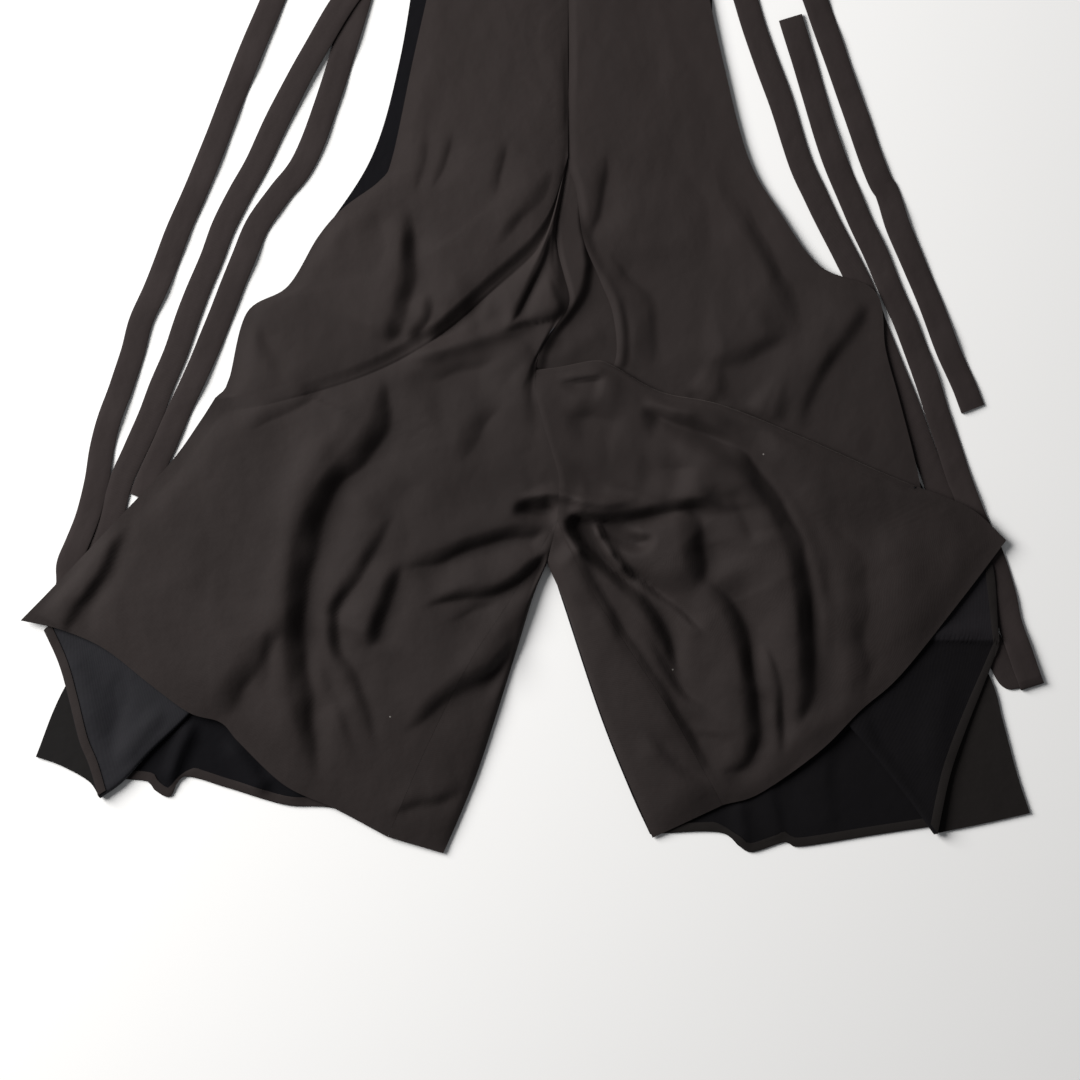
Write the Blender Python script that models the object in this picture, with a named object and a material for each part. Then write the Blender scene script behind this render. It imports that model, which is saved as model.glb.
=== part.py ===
"""Hakama trousers, laid flat on their back with the hems spread and the waist ties beside them.

Every length is in millimetres until scaled by MM. The crotch point is the drafting origin: x to the wearer's
left as the garment lies (the viewer's right), y towards the waist and z up from the floor. PLACE then moves
the garment so that its bounding box stands centred on the world origin.

A panel is one sheet of cloth. Its outer face is worked out from a few seam curves, and the wall is that face
moved inwards by the cloth's thickness. A curve's rows are (x, y, z): z is the height of the outer face.
"""

import math

import bpy
import numpy as np

MM = 0.001
CLOTH = 1.2  # thickness of one layer
BAND = 2.6  # thickness of the waistband and ties, several layers sewn flat
TIE_WIDTH = 27.5
SEAM_GAP = 0.4  # between two pieces that are sewn together
PLACE = (14.1, -204.4)  # moves the drafting origin to the middle of the footprint

TUCK_Z = 2.7  # face of the layer on the back panels
RETURN_Z = 3.1  # underside of the layer above it, where it lies flat
PLEAT_Z = 7.5  # the most that the centre pleat rises
RIDGE_TUCK = 40.0  # depth of the fold hidden below the right ridge
RIDGE_LAYERS = (6.2, 7.5, 8.8, 8.9, 11.6)  # its faces: upper panel, turn, return, return at the lip, lip

ROWS_SEAM_UPPER, ROWS_SEAM_LOWER, ROWS_GUSSET = 12, 9, 18  # points along each shared seam
ROWS_BACK, ROWS_BACK_INNER = 18, 9
ROWS_ABOVE_LEFT, ROWS_ABOVE_RIGHT = 17, 20
COLUMNS_FRONT, COLUMNS_BACK = 20, 14

WARM = (0.037, 0.030, 0.028)
BLUISH = (0.026, 0.026, 0.032)
TIE_COLOUR = (0.036, 0.028, 0.026)


# ---------------------------------------------------------------- curves and patches


def smooth(points, dense=12):
    """A Catmull-Rom curve through the points, as many short steps."""
    points = np.array(points, float)
    ends = np.vstack([2 * points[0] - points[1], points, 2 * points[-1] - points[-2]])
    out = []
    for a, b, c, d in zip(ends, ends[1:], ends[2:], ends[3:]):
        for t in np.arange(dense) / dense:
            bend = (2 * a - 5 * b + 4 * c - d) * t**2 + (3 * b - a - 3 * c + d) * t**3
            out.append(0.5 * (2 * b + (c - a) * t + bend))
    return np.array([*out, points[-1]])


def spaced(line, count):
    """The line as this many points, evenly spaced along its plan."""
    line = np.asarray(line, float)
    run = np.append(0, np.cumsum(np.linalg.norm(np.diff(line[:, :2], axis=0), axis=1)))
    at = np.linspace(0, run[-1], count)
    return np.column_stack([np.interp(at, run, line[:, k]) for k in range(line.shape[1])])


def curve(points, count, z=None):
    """A smooth curve through the rows, evenly spaced. z is the height of rows that state only x and y."""
    line = spaced(smooth(points), count)
    return line if z is None else np.column_stack([line[:, :2], np.full(count, z)])


def joined(*lines):
    """Lines end to end, without the doubled points."""
    return np.vstack([lines[0], *(line[1:] for line in lines[1:])])


def patch(top, bottom, left, right):
    """The Coons patch inside four curves: rows from top to bottom, each from left to right."""
    u = np.linspace(0, 1, len(top))[None, :, None]
    v = np.linspace(0, 1, len(left))[:, None, None]
    across = (1 - v) * top[None] + v * bottom[None]
    down = (1 - u) * left[:, None] + u * right[:, None]
    corners = (1 - v) * ((1 - u) * top[0] + u * top[-1]) + v * ((1 - u) * bottom[0] + u * bottom[-1])
    return across + down - corners


def offset_row(row, distance, rise):
    """The row moved down the garment, square to itself in plan, by distance, and up by rise."""
    along = np.gradient(row[:, :2], axis=0)
    along /= np.linalg.norm(along, axis=1)[:, None]
    down = np.column_stack([along[:, 1], -along[:, 0]])
    distance = np.broadcast_to(distance, len(row))[:, None]
    return np.column_stack([row[:, :2] + down * distance, row[:, 2] + rise])


def smoothstep(t):
    t = np.clip(t, 0, 1)
    return t * t * (3 - 2 * t)


# ---------------------------------------------------------------- folds


def fold_height(rows, folds, end=0.14):
    """Height of all folds at the points: each is a soft trough or ridge that fades at both ends."""
    xy = rows[..., :2]
    total = np.zeros(xy.shape[:-1])
    for _, width, height, route in folds:
        line = spaced(smooth([(x, y) for x, y in route], 6), 40)
        away = np.linalg.norm(xy[..., None, :] - line, axis=-1)
        nearest = away.argmin(axis=-1) / (len(line) - 1)
        fade = smoothstep(nearest / end) * smoothstep((1 - nearest) / end)
        total += height * np.exp(-((away.min(axis=-1) / width) ** 2)) * (0.35 + 0.65 * fade)
    return total


def billow(rows, folds, loft, lowest):
    """The rows raised by loft in the middle and by their folds, but never pressed below lowest."""
    count_v, count_u = rows.shape[:2]
    v = np.linspace(0, 1, count_v)[:, None]
    u = np.linspace(0, 1, count_u)[None, :]
    inside = smoothstep(6 * u * (1 - u)) * smoothstep(6 * v * (1 - v))
    base = rows[..., 2]
    wanted = base + inside * (loft + fold_height(rows, folds))
    floor = np.minimum(base, lowest(u))
    soft = 1.5
    out = rows.copy()
    out[..., 2] = floor + soft * np.logaddexp(0, (wanted - floor) / soft)
    out[..., 2] = np.where(inside > 0, np.maximum(out[..., 2] - soft * 0.3 * inside, floor), base)
    return out


# ---------------------------------------------------------------- walls


def unit(vectors):
    return vectors / np.maximum(np.linalg.norm(vectors, axis=-1, keepdims=True), 1e-9)


def tangents(grid, axis):
    steps = unit(np.diff(grid, axis=axis))
    pad = [(0, 0)] * 3
    pad[axis] = (1, 1)
    steps = np.pad(steps, pad, mode="edge")
    first = np.take(steps, range(steps.shape[axis] - 1), axis=axis)
    second = np.take(steps, range(1, steps.shape[axis]), axis=axis)
    return unit(first + second)


def square_ends(normals, grid):
    """Turns the normals at the sheet's edges into the edge's own upright plane, so that pieces meet."""
    for axis in (0, 1):
        along = tangents(grid, 1 - axis)
        for end, inner in ((0, 1), (-1, -2)):
            pick = (end, slice(None)) if axis == 0 else (slice(None), end)
            beside = (inner, slice(None)) if axis == 0 else (slice(None), inner)
            square = np.column_stack([along[pick][:, 1], -along[pick][:, 0], np.zeros(len(along[pick]))])
            across = (grid[pick] - grid[beside]) * (1, 1, 0)
            flat_enough = np.linalg.norm(square, axis=1, keepdims=True) > 0.3
            out = unit(np.where(flat_enough, square, across))
            normals[pick] = unit(normals[pick] - (normals[pick] * out).sum(axis=-1, keepdims=True) * out)
    return normals


def wall(name, outer, colour, thickness=CLOTH, parent=None):
    """A closed wall: the outer face as a grid of points, and the same grid moved in by the thickness."""
    outer = np.array(outer, float)
    normals = unit(np.cross(tangents(outer, 0), tangents(outer, 1)))
    mirrored = normals[0, 0, 2] < 0
    if mirrored:
        normals = -normals
    inner = outer - thickness * square_ends(normals, outer)
    inner[..., 2] = np.maximum(inner[..., 2], 0)
    count_v, count_u = outer.shape[:2]
    points = np.concatenate([outer.reshape(-1, 3), inner.reshape(-1, 3)])
    points[:, :2] += PLACE
    index = np.arange(count_v * count_u).reshape(count_v, count_u)
    under = index + count_v * count_u
    faces = []
    for i in range(count_v - 1):
        for j in range(count_u - 1):
            a, b, c, d = index[i, j], index[i, j + 1], index[i + 1, j + 1], index[i + 1, j]
            faces.append((d, c, b, a))
            a, b, c, d = under[i, j], under[i, j + 1], under[i + 1, j + 1], under[i + 1, j]
            faces.append((a, b, c, d))
    rim = [*index[0], *index[1:, -1], *index[-1, -2::-1], *index[-2:0:-1, 0]]
    drop = count_v * count_u
    for a, b in zip(rim, [*rim[1:], rim[0]]):
        faces.append((a, b, b + drop, a + drop))
    if mirrored:
        faces = [face[::-1] for face in faces]
    mesh = bpy.data.meshes.new(name)
    mesh.from_pydata([tuple(point * MM) for point in points], [], [tuple(map(int, face)) for face in faces])
    mesh.polygons.foreach_set("use_smooth", [True] * len(mesh.polygons))
    mesh.materials.append(cloth_material(name, colour))
    mesh.update()
    obj = bpy.data.objects.new(name, mesh)
    bpy.context.scene.collection.objects.link(obj)
    obj.parent = parent
    return obj


def inset(grid, sides):
    """The grid with each named side pulled in by half a seam's gap."""
    grid = grid.copy()
    picks = {
        "top": ((0, slice(None)), (1, slice(None))),
        "bottom": ((-1, slice(None)), (-2, slice(None))),
        "left": ((slice(None), 0), (slice(None), 1)),
        "right": ((slice(None), -1), (slice(None), -2)),
    }
    for side in sides.split():
        edge, beside = picks[side]
        grid[edge] += unit(grid[beside] - grid[edge]) * SEAM_GAP / 2
    return grid


def cloth_material(name, colour):
    material = bpy.data.materials.new(f"{name}_cloth")
    material.use_nodes = True
    shader = material.node_tree.nodes["Principled BSDF"]
    shader.inputs["Base Color"].default_value = (*colour, 1)
    shader.inputs["Roughness"].default_value = 0.85
    shader.inputs["Metallic"].default_value = 0
    return material


# ---------------------------------------------------------------- seams and edges, rows (x, y, z of the outer face)

CENTRE_FRONT = [(23, 652, 6), (23, 550, 7), (23, 446, 11)]
SEAM_UPPER = [(23, 446, 8), (18, 400, 6), (14, 340, 5), (16, 290, 6), (6, 255, 9), (-12, 212, 14)]
SEAM_LOWER = [(-12, 212, 14), (-13, 190, 16), (-4, 152, 17), (6, 119, 16), (13, 91, 14), (11, 47, 11)]

LEFT_WAIST = [(-125, 652, 5.5), (-50, 652, 5.5), (23, 652, 6)]
LEFT_SLIT = [
    (-125, 652, 5.5), (-148, 550, 5), (-170, 446, 5), (-184, 420, 5), (-224, 390, 5),
    (-252, 358, 5), (-285, 304, 5.5), (-330, 275, 6), (-350, 200, 6.2), (-364, 182, 6.5),
]
LEFT_RIDGE = [
    (-364, 182, 6.5), (-310, 190, 12), (-206, 221, 15), (-129, 262, 17),
    (-68, 314, 17), (-19, 358, 17), (6, 394, 15), (23, 446, 11),
]
LEFT_OUTER = [
    (-364, 182, 6.5), (-382, 154, 6), (-413, 111, 5.9), (-470, 50, 5.9), (-540, -24, 5.9), (-578, -63, 6),
]
LEFT_HEM = [
    (-578, -63, 6), (-534, -73, 7), (-486, -94, 9), (-437, -132, 10.5), (-393, -164, 11),
    (-358, -175, 10), (-338, -197, 8), (-288, -244, 6), (-233, -270, 5), (-175, -301, 4.5),
]
LEFT_GUSSET_SEAM = [
    (11, 47, 11), (-41, -41, 10), (-87, -112, 9), (-129, -195, 7), (-158, -261, 5.5), (-175, -301, 4.5),
]
LEFT_INSEAM = [(0, 0, 8), (-15, -36, 6), (-35, -101, 4), (-70, -211, 3.2), (-90, -264, 3.2), (-114, -319, 3.2)]

RIGHT_WAIST = [(23, 652, 6), (100, 652, 5.5), (172, 652, 5.5)]
RIGHT_EDGE = [
    (23, 652, 6), (24, 550, 7), (23, 446, 9), (32, 410, 9),
    (40, 355, 9), (58, 311, 8), (73, 270, 7), (73, 216, 6.5),
]
RIGHT_SLIT = [
    (172, 652, 5.5), (193, 553, 5), (221, 446, 5), (256, 385, 5), (300, 326, 5),
    (359, 298, 5.6), (366, 234, 5.8), (381, 179, 5.8), (400, 105, 5.8),
]
RIGHT_RIDGE = [
    (-12, 212, 14), (14, 215, 14), (52, 222, 14), (73, 216, 14), (124, 188, 14.2),
    (190, 174, 14.5), (278, 139, 14.5), (366, 100, 14), (405, 84, 13),
]
RIGHT_OUTER = [(405, 84, 13), (438, 72, 11), (471, 56, 8.5), (504, 25, 6.4)]
RIGHT_HEM = [
    (193, -266, 4.5), (234, -253, 5), (300, -206, 7), (344, -162, 9),
    (388, -123, 9), (454, -41, 7), (504, 25, 6.4),
]
RIGHT_GUSSET_SEAM = [
    (11, 47, 11), (31, 3, 10), (58, -46, 10), (102, -112, 8), (138, -167, 7), (193, -266, 4.5),
]
RIGHT_INSEAM = [(0, 0, 8), (18, -41, 6), (36, -96, 4), (58, -162, 3.2), (80, -219, 3.2), (116, -302, 3.2)]

PLEAT_EDGE = [(38, 446, 4.8), (62, 380, 4.8), (85, 300, 4.6), (88, 212, 4.6)]
PLEAT_FOOT = [(-12, 214, 8), (14, 217, 7), (52, 224, 5.5), (73, 219, 4.6), (88, 212, 4.6)]

# The same for cloth that lies flat, rows (x, y).
BACK_CENTRE = [(23, 688), (21, 447), (14, 179), (2, 3)]
LEFT_BACK_INNER = [(2, 3), (-19, -41), (-52, -147), (-85, -239), (-112, -311)]
LEFT_BACK_HEM = [
    (-560, -213), (-510, -228), (-468, -237), (-440, -240), (-431, -250), (-414, -257),
    (-399, -235), (-349, -248), (-288, -266), (-233, -270), (-162, -294), (-112, -311),
]
LEFT_BACK_SIDE = [
    (-140, 688), (-162, 553), (-193, 446), (-250, 358), (-285, 304), (-326, 272), (-338, 225),
    (-362, 165), (-416, 69), (-470, -41), (-530, -140), (-560, -213),
]
RIGHT_BACK_INNER = [(2, 3), (20, -52), (58, -167), (91, -250), (113, -298)]
RIGHT_BACK_HEM = [
    (113, -298), (188, -296), (212, -312), (226, -318), (262, -307),
    (278, -312), (355, -300), (421, -290), (529, -274),
]
RIGHT_BACK_SIDE = [
    (182, 688), (185, 553), (218, 438), (256, 380), (300, 322), (330, 290), (338, 256), (366, 168),
    (398, 80), (436, -30), (485, -125), (499, -173), (515, -233), (529, -274),
]

# The side panel's tuck lies on the back panel, turns over at the fold and returns below the front's edge.
# The fold's rows are (x, y, how far it stands open).
LEFT_TUCK_EDGE = [(-333, 250), (-340, 222), (-364, 162), (-418, 66), (-473, -44), (-532, -140), (-562, -213)]
LEFT_TUCK_HEM = [(-562, -213), (-536, -222), (-505, -239), (-493, -255)]
LEFT_FOLD = [
    (-314, 256, 0.8), (-306, 190, 0.8), (-302, 91, 0.8), (-314, -19, 1), (-343, -101, 1.5),
    (-393, -162, 3), (-437, -204, 4.5), (-468, -237, 5.5), (-493, -255, 6),
]
LEFT_RETURN_EDGE = [
    (-331, 262), (-338, 234), (-372, 150), (-420, 78), (-464, 20), (-514, -32), (-553, -74),
]
LEFT_RETURN_HEM = [(-493, -255), (-503, -222), (-514, -195), (-525, -151), (-536, -112), (-553, -74)]

RIGHT_TUCK_EDGE = [
    (341, 250), (368, 168), (400, 80), (439, -30), (487, -125), (501, -173), (517, -233), (531, -275),
]
RIGHT_TUCK_HEM = [(531, -275), (482, -286), (429, -297)]
RIGHT_FOLD = [
    (322, 258, 0.8), (305, 179, 0.8), (278, 69, 0.8), (267, -41, 1),
    (289, -129, 1.5), (344, -189, 3), (394, -250, 4.5), (429, -297, 6),
]
RIGHT_RETURN_EDGE = [(350, 262), (355, 240), (383, 152), (416, 78), (454, 36), (488, 6), (497, -90)]
RIGHT_RETURN_HEM = [(429, -297), (443, -233), (460, -184), (482, -129), (497, -90)]

# ---------------------------------------------------------------- folds, rows (name, half width, height, route)

LEFT_FOLDS = [
    ("main trough", 13, -9, [(-193, 210), (-195, 146), (-222, 108), (-252, 58), (-274, -85), (-258, -244)]),
    ("main ridge", 16, 6, [(-222, 196), (-232, 146), (-257, 108), (-286, 58), (-308, -85), (-292, -228)]),
    ("knee", 11, -6, [(-162, 47), (-222, -30), (-239, -76), (-222, -118), (-193, -217)]),
    ("crotch upper", 11, -7, [(-2, 31), (-63, 25), (-129, 9), (-167, -8), (-202, -98)]),
    ("crotch lower", 10, -5, [(-2, 9), (-41, -22), (-90, -28), (-145, -45)]),
    ("thigh", 11, -6, [(-41, -85), (-107, -123), (-151, -156), (-162, -175)]),
    ("outer soft", 16, -3, [(-305, -54), (-338, -112), (-365, -156)]),
    ("centre soft", 14, -5, [(-30, 234), (-74, 157), (-85, 130)]),
    ("deep", 12, -5, [(0, 361), (-13, 328), (-24, 300), (-38, 270), (-48, 262)]),
    ("below ridge", 14, -4, [(-250, 196), (-316, 152)]),
]
RIGHT_FOLDS = [
    ("upper band", 12, -5, [(113, 163), (168, 152), (256, 124)]),
    ("main trough", 12, -9, [(157, 135), (218, 97), (256, 53), (275, -8), (282, -129), (271, -178)]),
    ("main ridge", 15, 6, [(212, 122), (267, 69), (298, 25), (310, -41), (311, -107)]),
    ("overhang", 11, -7, [(31, 69), (58, 58), (102, 56), (168, 66)]),
    ("pocket", 12, -6, [(58, 47), (80, 25), (119, 11), (138, 36)]),
    ("diagonal", 12, -8, [(25, 31), (75, -13), (108, -52), (130, -96), (146, -140)]),
    ("lower diagonal", 10, -4, [(36, -2), (75, -57), (130, -140), (205, -180)]),
    ("arc", 11, -5, [(157, 3), (199, -74), (212, -140), (221, -195), (196, -219)]),
    ("outer soft", 18, -4, [(300, 47), (333, -63), (322, -184)]),
]
UPPER_LEFT_FOLDS = [("soft", 13, -3, [(-160, 399), (-156, 344), (-165, 278), (-184, 240)])]
UPPER_RIGHT_FOLDS = [
    ("soft", 14, -2.5, [(207, 421), (234, 344), (273, 245)]),
    ("slit crease", 11, -2, [(345, 270), (317, 229), (284, 179)]),
]


# The least height of a front's face, as a function of how far across it the point is.


def side_floor(outer_at_start):
    """High over the side panel's layers, lower over the back panel alone."""
    high, low = 9.0, 5.0

    def lowest(u):
        t = u if outer_at_start else 1 - u
        return high + (low - high) * smoothstep((t - 0.45) / 0.25)

    return lowest


def upper_floor(_):
    return 5.0


# ---------------------------------------------------------------- panels


def shared_seams():
    return {
        "upper": curve(SEAM_UPPER, ROWS_SEAM_UPPER),
        "lower": curve(SEAM_LOWER, ROWS_SEAM_LOWER),
        "left": curve(LEFT_GUSSET_SEAM, ROWS_GUSSET),
        "right": curve(RIGHT_GUSSET_SEAM, ROWS_GUSSET),
        "back": curve(BACK_CENTRE, ROWS_BACK, CLOTH),
    }


def front_panel_left(seams, parent):
    """One sheet from waist to hem. A raised fold crosses it from the apex to the side, steep near the centre."""
    ridge = curve(LEFT_RIDGE, COLUMNS_FRONT)
    slit, centre_front = curve(LEFT_SLIT, ROWS_ABOVE_LEFT), curve(CENTRE_FRONT, ROWS_ABOVE_LEFT)
    above = patch(curve(LEFT_WAIST, COLUMNS_FRONT), ridge, slit, centre_front)
    above = billow(above, UPPER_LEFT_FOLDS, 1.5, upper_floor)

    # The foot of the ridge runs beside it, 9 mm away, and meets it at the apex.
    apex_distance = np.linalg.norm(ridge[:, :2] - ridge[-1, :2], axis=1)
    foot = offset_row(ridge, 1.5 + 7.5 * smoothstep(apex_distance / 120), 0)
    foot[:, 2] = ridge[:, 2] - 1 - 7.5 * smoothstep((foot[:, 0] + 330) / 250)
    centre = joined(seams["upper"], seams["lower"], seams["left"])
    outer = curve(LEFT_OUTER, len(centre))
    centre[0, :2] = 0.6 * centre[0, :2] + 0.4 * centre[1, :2]
    centre[0, 2] = foot[-1, 2]
    outer[0] = 0.6 * outer[0] + 0.4 * outer[1]
    foot[0], foot[-1] = outer[0], centre[0]
    below = patch(foot, curve(LEFT_HEM, COLUMNS_FRONT), outer, centre)
    below = billow(below, LEFT_FOLDS, 6, side_floor(True))
    sheet = inset(np.concatenate([above, below]), "left right")
    return wall("front_panel_left", sheet, WARM, parent=parent)


def front_panel_right(seams, parent):
    """One sheet from waist to hem, folded back on itself like a Z at the ridge, so that the leg overhangs."""
    upper_z, turn_z, return_z, lip_return_z, lip_z = RIDGE_LAYERS
    ridge = curve(RIGHT_RIDGE, COLUMNS_FRONT)
    hidden = offset_row(ridge, RIDGE_TUCK, 0)
    hidden[:, 0] += np.linspace(45, 0, COLUMNS_FRONT)
    hidden[:, 2] = upper_z
    edge = curve([*RIGHT_EDGE, tuple(hidden[0])], ROWS_ABOVE_RIGHT)
    side = curve([*RIGHT_SLIT, tuple(hidden[-1])], ROWS_ABOVE_RIGHT)
    upper = patch(curve(RIGHT_WAIST, COLUMNS_FRONT), hidden, edge, side)
    upper = billow(upper, UPPER_RIGHT_FOLDS, 1, upper_floor)

    turn = hidden + (0, -1.6, turn_z - upper_z)
    turned = hidden + (0, 0, return_z - upper_z)
    below_lip = offset_row(ridge, 3, 0)
    below_lip[:, 2] = lip_return_z
    lip = ridge.copy()
    lip[:, 2] = lip_z
    over = offset_row(ridge, 3, 0.3)
    start = offset_row(ridge, 12, 1.5)

    centre = joined(seams["lower"], seams["right"])
    outer = curve(RIGHT_OUTER, len(centre))
    centre[0] = start[0] = 0.5 * centre[0] + 0.5 * centre[1]
    outer[0] = start[-1] = 0.7 * outer[0] + 0.3 * outer[2]
    leg = patch(start, curve(RIGHT_HEM, COLUMNS_FRONT), centre, outer)
    leg = billow(leg, RIGHT_FOLDS, 6, side_floor(False))
    rows = [*upper, turn, turned, (turned + below_lip) / 2, below_lip, lip, over, *leg]
    return wall("front_panel_right", inset(np.array(rows), "left right"), WARM, parent=parent)


def gusset(name, seam, inseam, parent):
    """The long wedge set between a front panel and the inside leg."""
    columns, crown = 4, 2.5
    inner = curve(inseam, len(seam))
    sheet = patch(spaced([seam[0], inner[0]], columns), spaced([seam[-1], inner[-1]], columns), seam, inner)
    v = np.linspace(0, 1, len(seam))[:, None]
    u = np.linspace(0, 1, columns)[None, :]
    sheet[..., 2] += crown * np.sin(math.pi * u) * (1 - 0.6 * v)
    return wall(name, inset(sheet, "left top"), WARM, parent=parent)


def centre_pleat(seams, parent):
    """The inner layer that shows in the opening between the two front panels."""
    columns = 8
    left = seams["upper"].copy()
    left[:, 2] = np.minimum(left[:, 2], PLEAT_Z)
    under = curve(PLEAT_EDGE, len(left))
    bottom = spaced(PLEAT_FOOT, columns)
    left[-1], under[-1] = bottom[0], bottom[-1]
    sheet = patch(spaced([left[0], under[0]], columns), bottom, left, under)
    return wall("centre_pleat", inset(sheet, "left"), WARM, parent=parent)


def back_panel(name, seams, inner, side, hem, parent):
    """A flat panel on the floor, from the centre back seam to the side fold."""
    centre = joined(seams["back"], curve(inner, ROWS_BACK_INNER, CLOTH))
    outer = curve(side, len(centre), CLOTH)
    hem = curve(hem, COLUMNS_BACK, CLOTH)
    on_left = outer[0, 0] < centre[0, 0]
    left, right = (outer, centre) if on_left else (centre, outer)
    sheet = patch(spaced([left[0], right[0]], COLUMNS_BACK), hem, left, right)
    return wall(name, inset(sheet, "right" if on_left else "left"), BLUISH, parent=parent)


def side_panel(name, tuck_edge, fold, return_edge, tuck_hem, return_hem, parent):
    """A sheet folded lengthwise: the tuck on the back panel, the rounded fold, and the return above it."""
    rows, tuck_columns, return_columns = 15, 5, 8
    fold_line = curve(fold, rows)
    opening = fold_line[:, 2].copy()
    fold_line[:, 2] = TUCK_Z
    tuck_line = curve(tuck_edge, rows, TUCK_Z)
    tuck_top = spaced([tuck_line[0], fold_line[0]], tuck_columns)
    tuck = patch(tuck_top, curve(tuck_hem, tuck_columns, TUCK_Z), tuck_line, fold_line)

    crest = fold_line + unit(tuck[:, -1] - tuck[:, -2]) * (opening / 2)[:, None]
    crest[:, 2] = TUCK_Z + opening / 2
    upper_line = fold_line.copy()
    upper_line[:, 2] = TUCK_Z + opening

    return_line = curve(return_edge, rows, RETURN_Z)
    bottom = curve(return_hem, return_columns, RETURN_Z)
    bottom[:, 2] += (upper_line[-1, 2] - RETURN_Z) * np.linspace(1, 0, return_columns) ** 2
    top = spaced([upper_line[0], return_line[0]], return_columns)
    back = patch(top, bottom, upper_line, return_line)
    sheet = np.concatenate([tuck, crest[:, None], back], axis=1)
    return wall(name, sheet, WARM, parent=parent)


# ---------------------------------------------------------------- waistbands and ties

# Tie routes, rows (x, y, z of the upper face). The front ties hang from the front band, which lies higher.
LEFT_TIE_DOWN = [
    (-129.2, 668, 7), (-160, 667, 7), (-192, 652, 6.2), (-222, 618, 6), (-260, 556, 5.6), (-290, 500, 3.6),
    (-318, 446, 2.6), (-353, 377, 2.6), (-380, 311, 2.6), (-405, 245, 2.6), (-431, 179, 2.6), (-454, 118, 2.6),
    (-471, 60, 2.6), (-484, 15, 2.6),
]
LEFT_TIE_UP = [
    (-272, 696, 2.6), (-302, 619, 2.6), (-338, 531, 2.6), (-372, 446, 2.6), (-409, 355, 2.6), (-437, 285, 2.6),
    (-461, 216, 2.6), (-484, 145, 2.6), (-503, 69, 2.6), (-517, 22, 2.6),
]
LEFT_TURN = ((-515, -31), (0.15, 0.99))  # where the doubled tie turns back, and the way its strands leave
RIGHT_TIE_DOWN = [
    (177, 666.5, 7), (184, 666.5, 7), (194, 662, 6.4), (206, 650, 5), (217, 626, 2.8), (231, 580, 2.6),
    (276, 446, 2.6), (319, 355, 2.6), (351, 284, 2.6), (391, 179, 2.6), (427, 80, 2.6), (469, -41, 2.6),
]
RIGHT_TIE_UP = [
    (268, 600, 2.6), (290, 526, 2.6), (315, 446, 2.6), (355, 355, 2.6), (393, 267, 2.6), (426, 179, 2.6),
    (463, 69, 2.6), (499, -35, 2.6), (517, -85, 2.6),
]
RIGHT_TURN = ((520, -114), (-0.28, 0.96))
BACK_TIE_LEFT = [
    (-144, 702.5, 2.6), (-158, 702, 2.6), (-180, 686, 2.6), (-196, 655, 2.6), (-214, 595, 2.6), (-240, 512, 2.6),
    (-267, 446, 2.6), (-298, 398, 2.6), (-327, 348, 2.6), (-355, 288, 2.6), (-380, 222, 2.6), (-404, 160, 2.6),
    (-420, 118, 2.6), (-431, 92, 2.6),
]
BACK_TIE_RIGHT = [
    (186, 702.5, 2.6), (198, 703.5, 2.6), (224, 715, 2.6), (258, 694, 2.6), (295, 619, 2.6), (355, 446, 2.6),
    (394, 355, 2.6), (429, 267, 2.6), (468, 169, 2.6),
]
ROWS_TIE = 30
# Waistbands, rows (name, y of the middle, z of the upper face, from x, to x).
WAISTBANDS = [
    ("waistband_front", 666.5, 7, -128.5, 175.5),
    ("waistband_back", 702.5, BAND, -143, 185),
]


def strap(route, count):
    """A flat strip's face: three points across, square to the centre line through the route."""
    finer = 8
    line = curve(route, (count - 1) * finer + 1)
    along = unit(np.gradient(line[:, :2], axis=0))[::finer]
    centre = line[::finer]
    across = np.column_stack([-along[:, 1], along[:, 0], np.zeros(count)])
    half = TIE_WIDTH / 2
    return np.stack([centre + across * half, centre, centre - across * half], axis=1)


def turned_end(middle, direction, z, steps=7):
    """Where a doubled tie turns back: a squared half turn round the narrow space between its strands."""
    gap, squareness, depth = 0.7, 0.55, 0.85
    middle = np.array([*middle, 0.0])
    along = unit(np.array([*direction, 0.0]))
    across = np.array([along[1], -along[0], 0.0])
    rows = []
    for angle in np.linspace(0, math.pi, steps):
        c, s = math.cos(angle), math.sin(angle)
        inner = across * c * gap - along * s * gap
        square = across * math.copysign(abs(c) ** squareness, c) - along * s**squareness * depth
        outer = square * (TIE_WIDTH + gap)
        rows.append([middle + outer, middle + (inner + outer) / 2, middle + inner])
    rows = np.array(rows)
    rows[..., 2] = z
    return rows


def doubled_tie(name, first, second, turn, parent):
    """A long tie laid in two strands: down the first, round the turned end and back up the second."""
    end = turned_end(*turn, BAND)
    down = strap([*first, tuple(end[0].mean(axis=0))], ROWS_TIE)[:-1]
    up = strap([tuple(end[-1].mean(axis=0)), *second[::-1]], ROWS_TIE)[1:]
    if np.linalg.norm(down[-1, 0] - end[0, 0]) > np.linalg.norm(down[-1, 2] - end[0, 0]):
        end = end[:, ::-1]
    sheet = np.concatenate([down, end, up])
    return wall(name, sheet, TIE_COLOUR, BAND, parent)


def tie(name, route, parent):
    return wall(name, strap(route, ROWS_TIE), TIE_COLOUR, BAND, parent)


def waistband(name, y, z, from_x, to_x, parent):
    return wall(name, strap([(from_x, y, z), (to_x, y, z)], 8), TIE_COLOUR, BAND, parent)


def clear_scene():
    for obj in list(bpy.data.objects):
        bpy.data.objects.remove(obj)


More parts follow.
